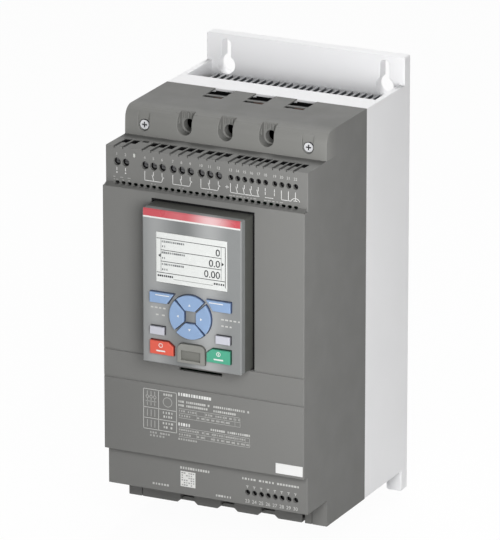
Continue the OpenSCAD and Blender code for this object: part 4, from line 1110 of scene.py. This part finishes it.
class SOFTSTART_OT_keypad(Dressing, bpy.types.Operator):
    """Finishes the keypad with its band, display and keys"""

    bl_idname = "softstart.keypad"
    bl_label = "Keypad"

    def dress(self, look, mats):
        softened("keypad_case", mats["keypad"], look.cover_edge * 0.5, joints=("keypad_back",))
        softened("keypad_back", mats["keypad_side"], look.cover_edge, joints=("keypad_case",))
        paint("display_window", mats["display"])
        paint("display_module", mats["black"])
        self.band(mats["band"])
        self.gap(mats["deep_black"])
        rule = Print(FACE_Y)
        rule.rect(-36.0, 36.0, 79.1, 80.2)
        rule.build("band_rule", mats["ink"], "keypad", "keypad")
        self.keys(look, mats)
        self.display(look, mats)
        notes = (("left", -29.6, -20.5, 16.6, 4), ("left_low", -25.8, -21.2, 11.7, 2),
                 ("right", 22.8, 35.0, 15.0, 5), ("right_low", 22.8, 28.8, 10.5, 3))
        for name, x0, x1, z, columns in notes:
            dash_rows(name + "_note", x0, x1, z, z, FACE_Y, 1, columns, 1.0, mats["pale_ink"],
                      "keypad", 1.0, look.print_seed + 70)

    def gap(self, mat):
        """Painted shade: a dark sheet on the walls of the pocket's mouth, around the keypad."""
        (x0, _, z0), (x1, _, z1) = ([c / MM for c in corner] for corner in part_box("keypad_back"))
        near, far, top = SHADE_SHEET_FREE, POCKET_SIDE, z1 + SHADE_SHEET_FREE
        shade_sheet = Print(COVER_Y + SHADE_SHEET_D, SHADE_SHEET_D)
        shade_sheet.rect(x0 - far, x1 + far, top, z1 + POCKET_TOP)
        for left, right in ((x0 - far, x0 - near), (x1 + near, x1 + far)):
            shade_sheet.rect(left, right, z0, top)
        shade_sheet.build("pocket_painted_shade", mat, "base", "front_plastic")

    def band(self, mat):
        """Red band that runs from the face over its broken top edge."""
        x, edge, top = 36.0, 0.8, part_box("keypad_case")[1][2] / MM
        fold = [(FACE_Y, 80.2), (FACE_Y, top - edge), (FACE_Y + edge, top)]
        out = [(FACE_Y - INK_T, 80.2), (FACE_Y - INK_T, top - edge), (FACE_Y + edge - INK_T, top)]
        bm = bmesh.new()
        ends = [[bm.verts.new((side * x * MM, y * MM, z * MM)) for y, z in out + fold[::-1]]
                for side in (-1, 1)]
        count = len(ends[0])
        bm.faces.new(ends[0][::-1])
        bm.faces.new(ends[1])
        for n in range(count):
            bm.faces.new((ends[0][n - 1], ends[0][n], ends[1][n], ends[1][n - 1]))
        bmesh.ops.recalc_face_normals(bm, faces=bm.faces)
        mesh = bpy.data.meshes.new("band")
        bm.to_mesh(mesh)
        bm.free()
        finished(new_object("band", mesh, mat), "keypad")

    def keys(self, look, mats):
        for node in ("key_soft_left", "key_soft_right", "key_up", "key_down", "key_left", "key_right"):
            softened(node, mats["blue"], look.key_edge, front_only=True)
        for node in ("key_info", "key_mode"):
            softened(node, mats["grey_key"], look.key_edge * 0.7, front_only=True)
        softened("key_stop", mats["stop"], look.key_edge, front_only=True)
        softened("key_start", mats["start"], look.key_edge, front_only=True)
        softened("usb_flap", mats["flap"], 0.0004)
        reach = 8.6
        for name, dx, dz in (("up", 0, 1), ("down", 0, -1), ("left", -1, 0), ("right", 1, 0)):
            mark = Print(KEY_Y)
            x, z = RING_X + dx * reach, RING_Z + dz * reach
            mark.poly([(x + dx * 0.9, z + dz * 0.9), (x - dx * 0.6 - dz * 0.9, z - dz * 0.6 + dx * 0.9),
                       (x - dx * 0.6 + dz * 0.9, z - dz * 0.6 - dx * 0.9)])
            mark.build("mark_" + name, mats["ink"], "key_" + name, "blue_key")
        for name, x in (("soft_left", -26.0), ("soft_right", 14.0)):
            mark = Print(KEY_Y)
            mark.rect(x, x + 10.4, RING_Z + 12.5, RING_Z + 13.1)
            mark.build("mark_" + name, mats["ink"], "key_" + name, "blue_key")
        mark = Print(KEY_Y)
        mark.ring(RING_X - 21.5, RING_Z - 22.6, 1.35, 0.45)
        mark.rect(RING_X - 24.8, RING_X - 18.2, RING_Z - 27.0, RING_Z - 26.0)
        mark.build("mark_stop", mats["ink"], "key_stop", "stop_key")
        mark = Print(KEY_Y)
        mark.ring(RING_X + 21.5, RING_Z - 22.6, 1.35, 0.45)
        mark.rect(RING_X + 21.25, RING_X + 21.75, RING_Z - 23.4, RING_Z - 21.8)
        mark.rect(RING_X + 18.0, RING_X + 25.0, RING_Z - 27.0, RING_Z - 26.0)
        mark.build("mark_start", mats["ink"], "key_start", "start_key")

    def display(self, look, mats):
        ink = Print(WINDOW_Y)
        left, right, top, low = -25.8, 24.9, 65.6, 41.7
        inner_l, inner_r = -22.8, 21.8
        pen = 0.44
        for z in (top, low):
            ink.line([(left, z), (right, z)], pen)
        for z in (57.6, 49.7):
            ink.line([(inner_l, z), (inner_r, z)], pen)
        for x in (inner_l, inner_r):
            ink.line([(x, top - 0.5), (x, low + 0.8)], pen * 0.5)
        ink.line([(right, top), (right, low - 4.2)], pen)
        ink.line([(-13.5, 38.0), (15.5, 38.0)], pen * 0.5)
        for words, z in (("0", 61.2), ("0.0", 53.4), ("0.00", 45.6)):
            ink.number(words, inner_r - 0.7, z, 4.9, "RIGHT", 0.05)
        for x, way in ((left + 1.0, 1), (right - 1.0, -1)):
            ink.poly([(x, 53.6), (x + way * 1.7, 54.9), (x + way * 1.7, 52.3)])
        ink.build("display_figures", mats["dark_ink"], "keypad", "window")
        words = (("a", -21.8, -6.0, 63.6, 12), ("b", -21.6, -20.0, 60.2, 2), ("c", -21.8, -5.6, 55.9, 12),
                 ("d", -21.6, -20.2, 52.1, 2), ("e", -21.8, -6.4, 47.8, 12), ("f", -21.6, -18.4, 44.1, 3),
                 ("left", -24.8, -14.4, 39.5, 8), ("right", 17.0, 23.6, 39.3, 5))
        for i, (name, x0, x1, z, columns) in enumerate(words):
            tone = "dark_ink" if name in ("left", "right") else "display_grey"
            dash_rows("display_words_" + name, x0, x1, z, z, WINDOW_Y, 1, columns, 1.3, mats[tone],
                      "keypad", 1.0, look.print_seed + 80 + i)


class SOFTSTART_OT_stage(Dressing, bpy.types.Operator):
    """Adds a pale floor, soft light and the camera"""

    bl_idname = "softstart.stage"
    bl_label = "Stage"

    def dress(self, look, mats):
        self.floor()
        self.world()
        self.lamp("key_lamp", (0.3, -0.62, 0.2), 0.36, 3.3)
        self.lamp("top_lamp", (-0.1, 0.5, 1.15), 0.6, 9.4)
        self.camera()

    def seen_white(self, tree):
        """Light path factor: the camera, and gloss and clear sheets, see the white backdrop."""
        rays = tree.nodes.new("ShaderNodeLightPath")
        factor = rays.outputs["Is Camera Ray"]
        for name in ("Is Glossy Ray", "Is Transmission Ray"):
            either = tree.nodes.new("ShaderNodeMath")
            either.operation = "MAXIMUM"
            link(tree, factor, either.inputs[0])
            link(tree, rays.outputs[name], either.inputs[1])
            factor = either.outputs[0]
        return factor

    def floor(self):
        bm = bmesh.new()
        level = Matrix.Translation((0, 0, CAD_BOX[0][2] - 0.0005))
        bmesh.ops.create_grid(bm, x_segments=1, y_segments=1, size=8, matrix=level)
        mesh = bpy.data.meshes.new("floor")
        bm.to_mesh(mesh)
        bm.free()
        mat = bpy.data.materials.new("pale_floor")
        mat.use_nodes = True
        tree = mat.node_tree
        shader = tree.nodes["Principled BSDF"]
        shader.inputs["Base Color"].default_value = (0.93, 0.93, 0.93, 1)
        shader.inputs["Roughness"].default_value = 0.9
        share = tree.nodes.new("ShaderNodeMath")
        share.operation = "MULTIPLY"
        share.inputs[1].default_value = 0.965
        glow = tree.nodes.new("ShaderNodeEmission")
        mix = tree.nodes.new("ShaderNodeMixShader")
        link(tree, self.seen_white(tree), share.inputs[0])
        link(tree, share.outputs[0], mix.inputs["Fac"])
        link(tree, shader.outputs["BSDF"], mix.inputs[1])
        link(tree, glow.outputs["Emission"], mix.inputs[2])
        link(tree, mix.outputs["Shader"], tree.nodes["Material Output"].inputs["Surface"])
        new_object("floor", mesh, mat)

    def world(self):
        world = bpy.data.worlds.new("studio")
        bpy.context.scene.world = world
        world.use_nodes = True
        tree = world.node_tree
        tree.nodes.clear()
        soft = tree.nodes.new("ShaderNodeBackground")
        soft.inputs["Color"].default_value = (1, 1, 1, 1)
        soft.inputs["Strength"].default_value = 0.14
        white = tree.nodes.new("ShaderNodeBackground")
        white.inputs["Strength"].default_value = 1.0
        white.inputs["Color"].default_value = (1, 1, 1, 1)
        mix = tree.nodes.new("ShaderNodeMixShader")
        out = tree.nodes.new("ShaderNodeOutputWorld")
        link(tree, self.seen_white(tree), mix.inputs["Fac"])
        link(tree, soft.outputs["Background"], mix.inputs[1])
        link(tree, white.outputs["Background"], mix.inputs[2])
        link(tree, mix.outputs["Shader"], out.inputs["Surface"])

    def lamp(self, name, place, size, power):
        data = bpy.data.lights.new(name, "AREA")
        data.shape = "DISK"
        data.size = size
        data.energy = power
        obj = bpy.data.objects.new(name, data)
        obj.location = place
        obj.rotation_euler = (CAM_AIM - Vector(place)).to_track_quat("-Z", "Y").to_euler()
        bpy.context.scene.collection.objects.link(obj)

    def camera(self):
        az, el = math.radians(CAM_AZ), math.radians(CAM_EL)
        back = Vector((math.sin(az) * math.cos(el), -math.cos(az) * math.cos(el), math.sin(el)))
        side = Vector((math.cos(az), math.sin(az), 0))
        rise = back.cross(side)
        data = bpy.data.cameras.new("photo_camera")
        data.sensor_width = SENSOR
        data.lens = FOCAL_PX / FRAME_LONG * SENSOR
        data.clip_start = 0.1
        data.clip_end = 50
        obj = bpy.data.objects.new("photo_camera", data)
        place = CAM_AIM + back * CAM_DIST - side * CAM_SIDE - rise * CAM_RISE
        turn = Matrix((side, rise, back)).transposed().to_4x4()
        obj.matrix_world = Matrix.Translation(place) @ turn
        bpy.context.scene.collection.objects.link(obj)
        scene = bpy.context.scene
        scene.camera = obj
        scene.view_settings.view_transform = "Standard"


class SOFTSTART_PT_panel(bpy.types.Panel):
    """Lists the dressing steps."""

    bl_label = "Soft Starter"
    bl_idname = "SOFTSTART_PT_panel"
    bl_space_type = "VIEW_3D"
    bl_region_type = "UI"
    bl_category = "Soft Starter"

    def draw(self, context):
        look = context.scene.soft_starter_look
        column = self.layout.column()
        for name in SoftStarterLook.__annotations__:
            column.prop(look, name)
        for step in STEPS:
            column.operator(step.bl_idname)


STEPS = (SOFTSTART_OT_covers, SOFTSTART_OT_chassis, SOFTSTART_OT_power, SOFTSTART_OT_terminals,
         SOFTSTART_OT_prints, SOFTSTART_OT_keypad, SOFTSTART_OT_stage)
CLASSES = (SoftStarterLook, *STEPS, SOFTSTART_PT_panel)


def register():
    for cls in CLASSES:
        bpy.utils.register_class(cls)
    bpy.types.Scene.soft_starter_look = PointerProperty(type=SoftStarterLook)


def unregister():
    del bpy.types.Scene.soft_starter_look
    for cls in reversed(CLASSES):
        bpy.utils.unregister_class(cls)


def main():
    register()
    for step in STEPS:
        group, name = step.bl_idname.split(".")
        getattr(getattr(bpy.ops, group), name)()


if __name__ == "__main__":
    main()
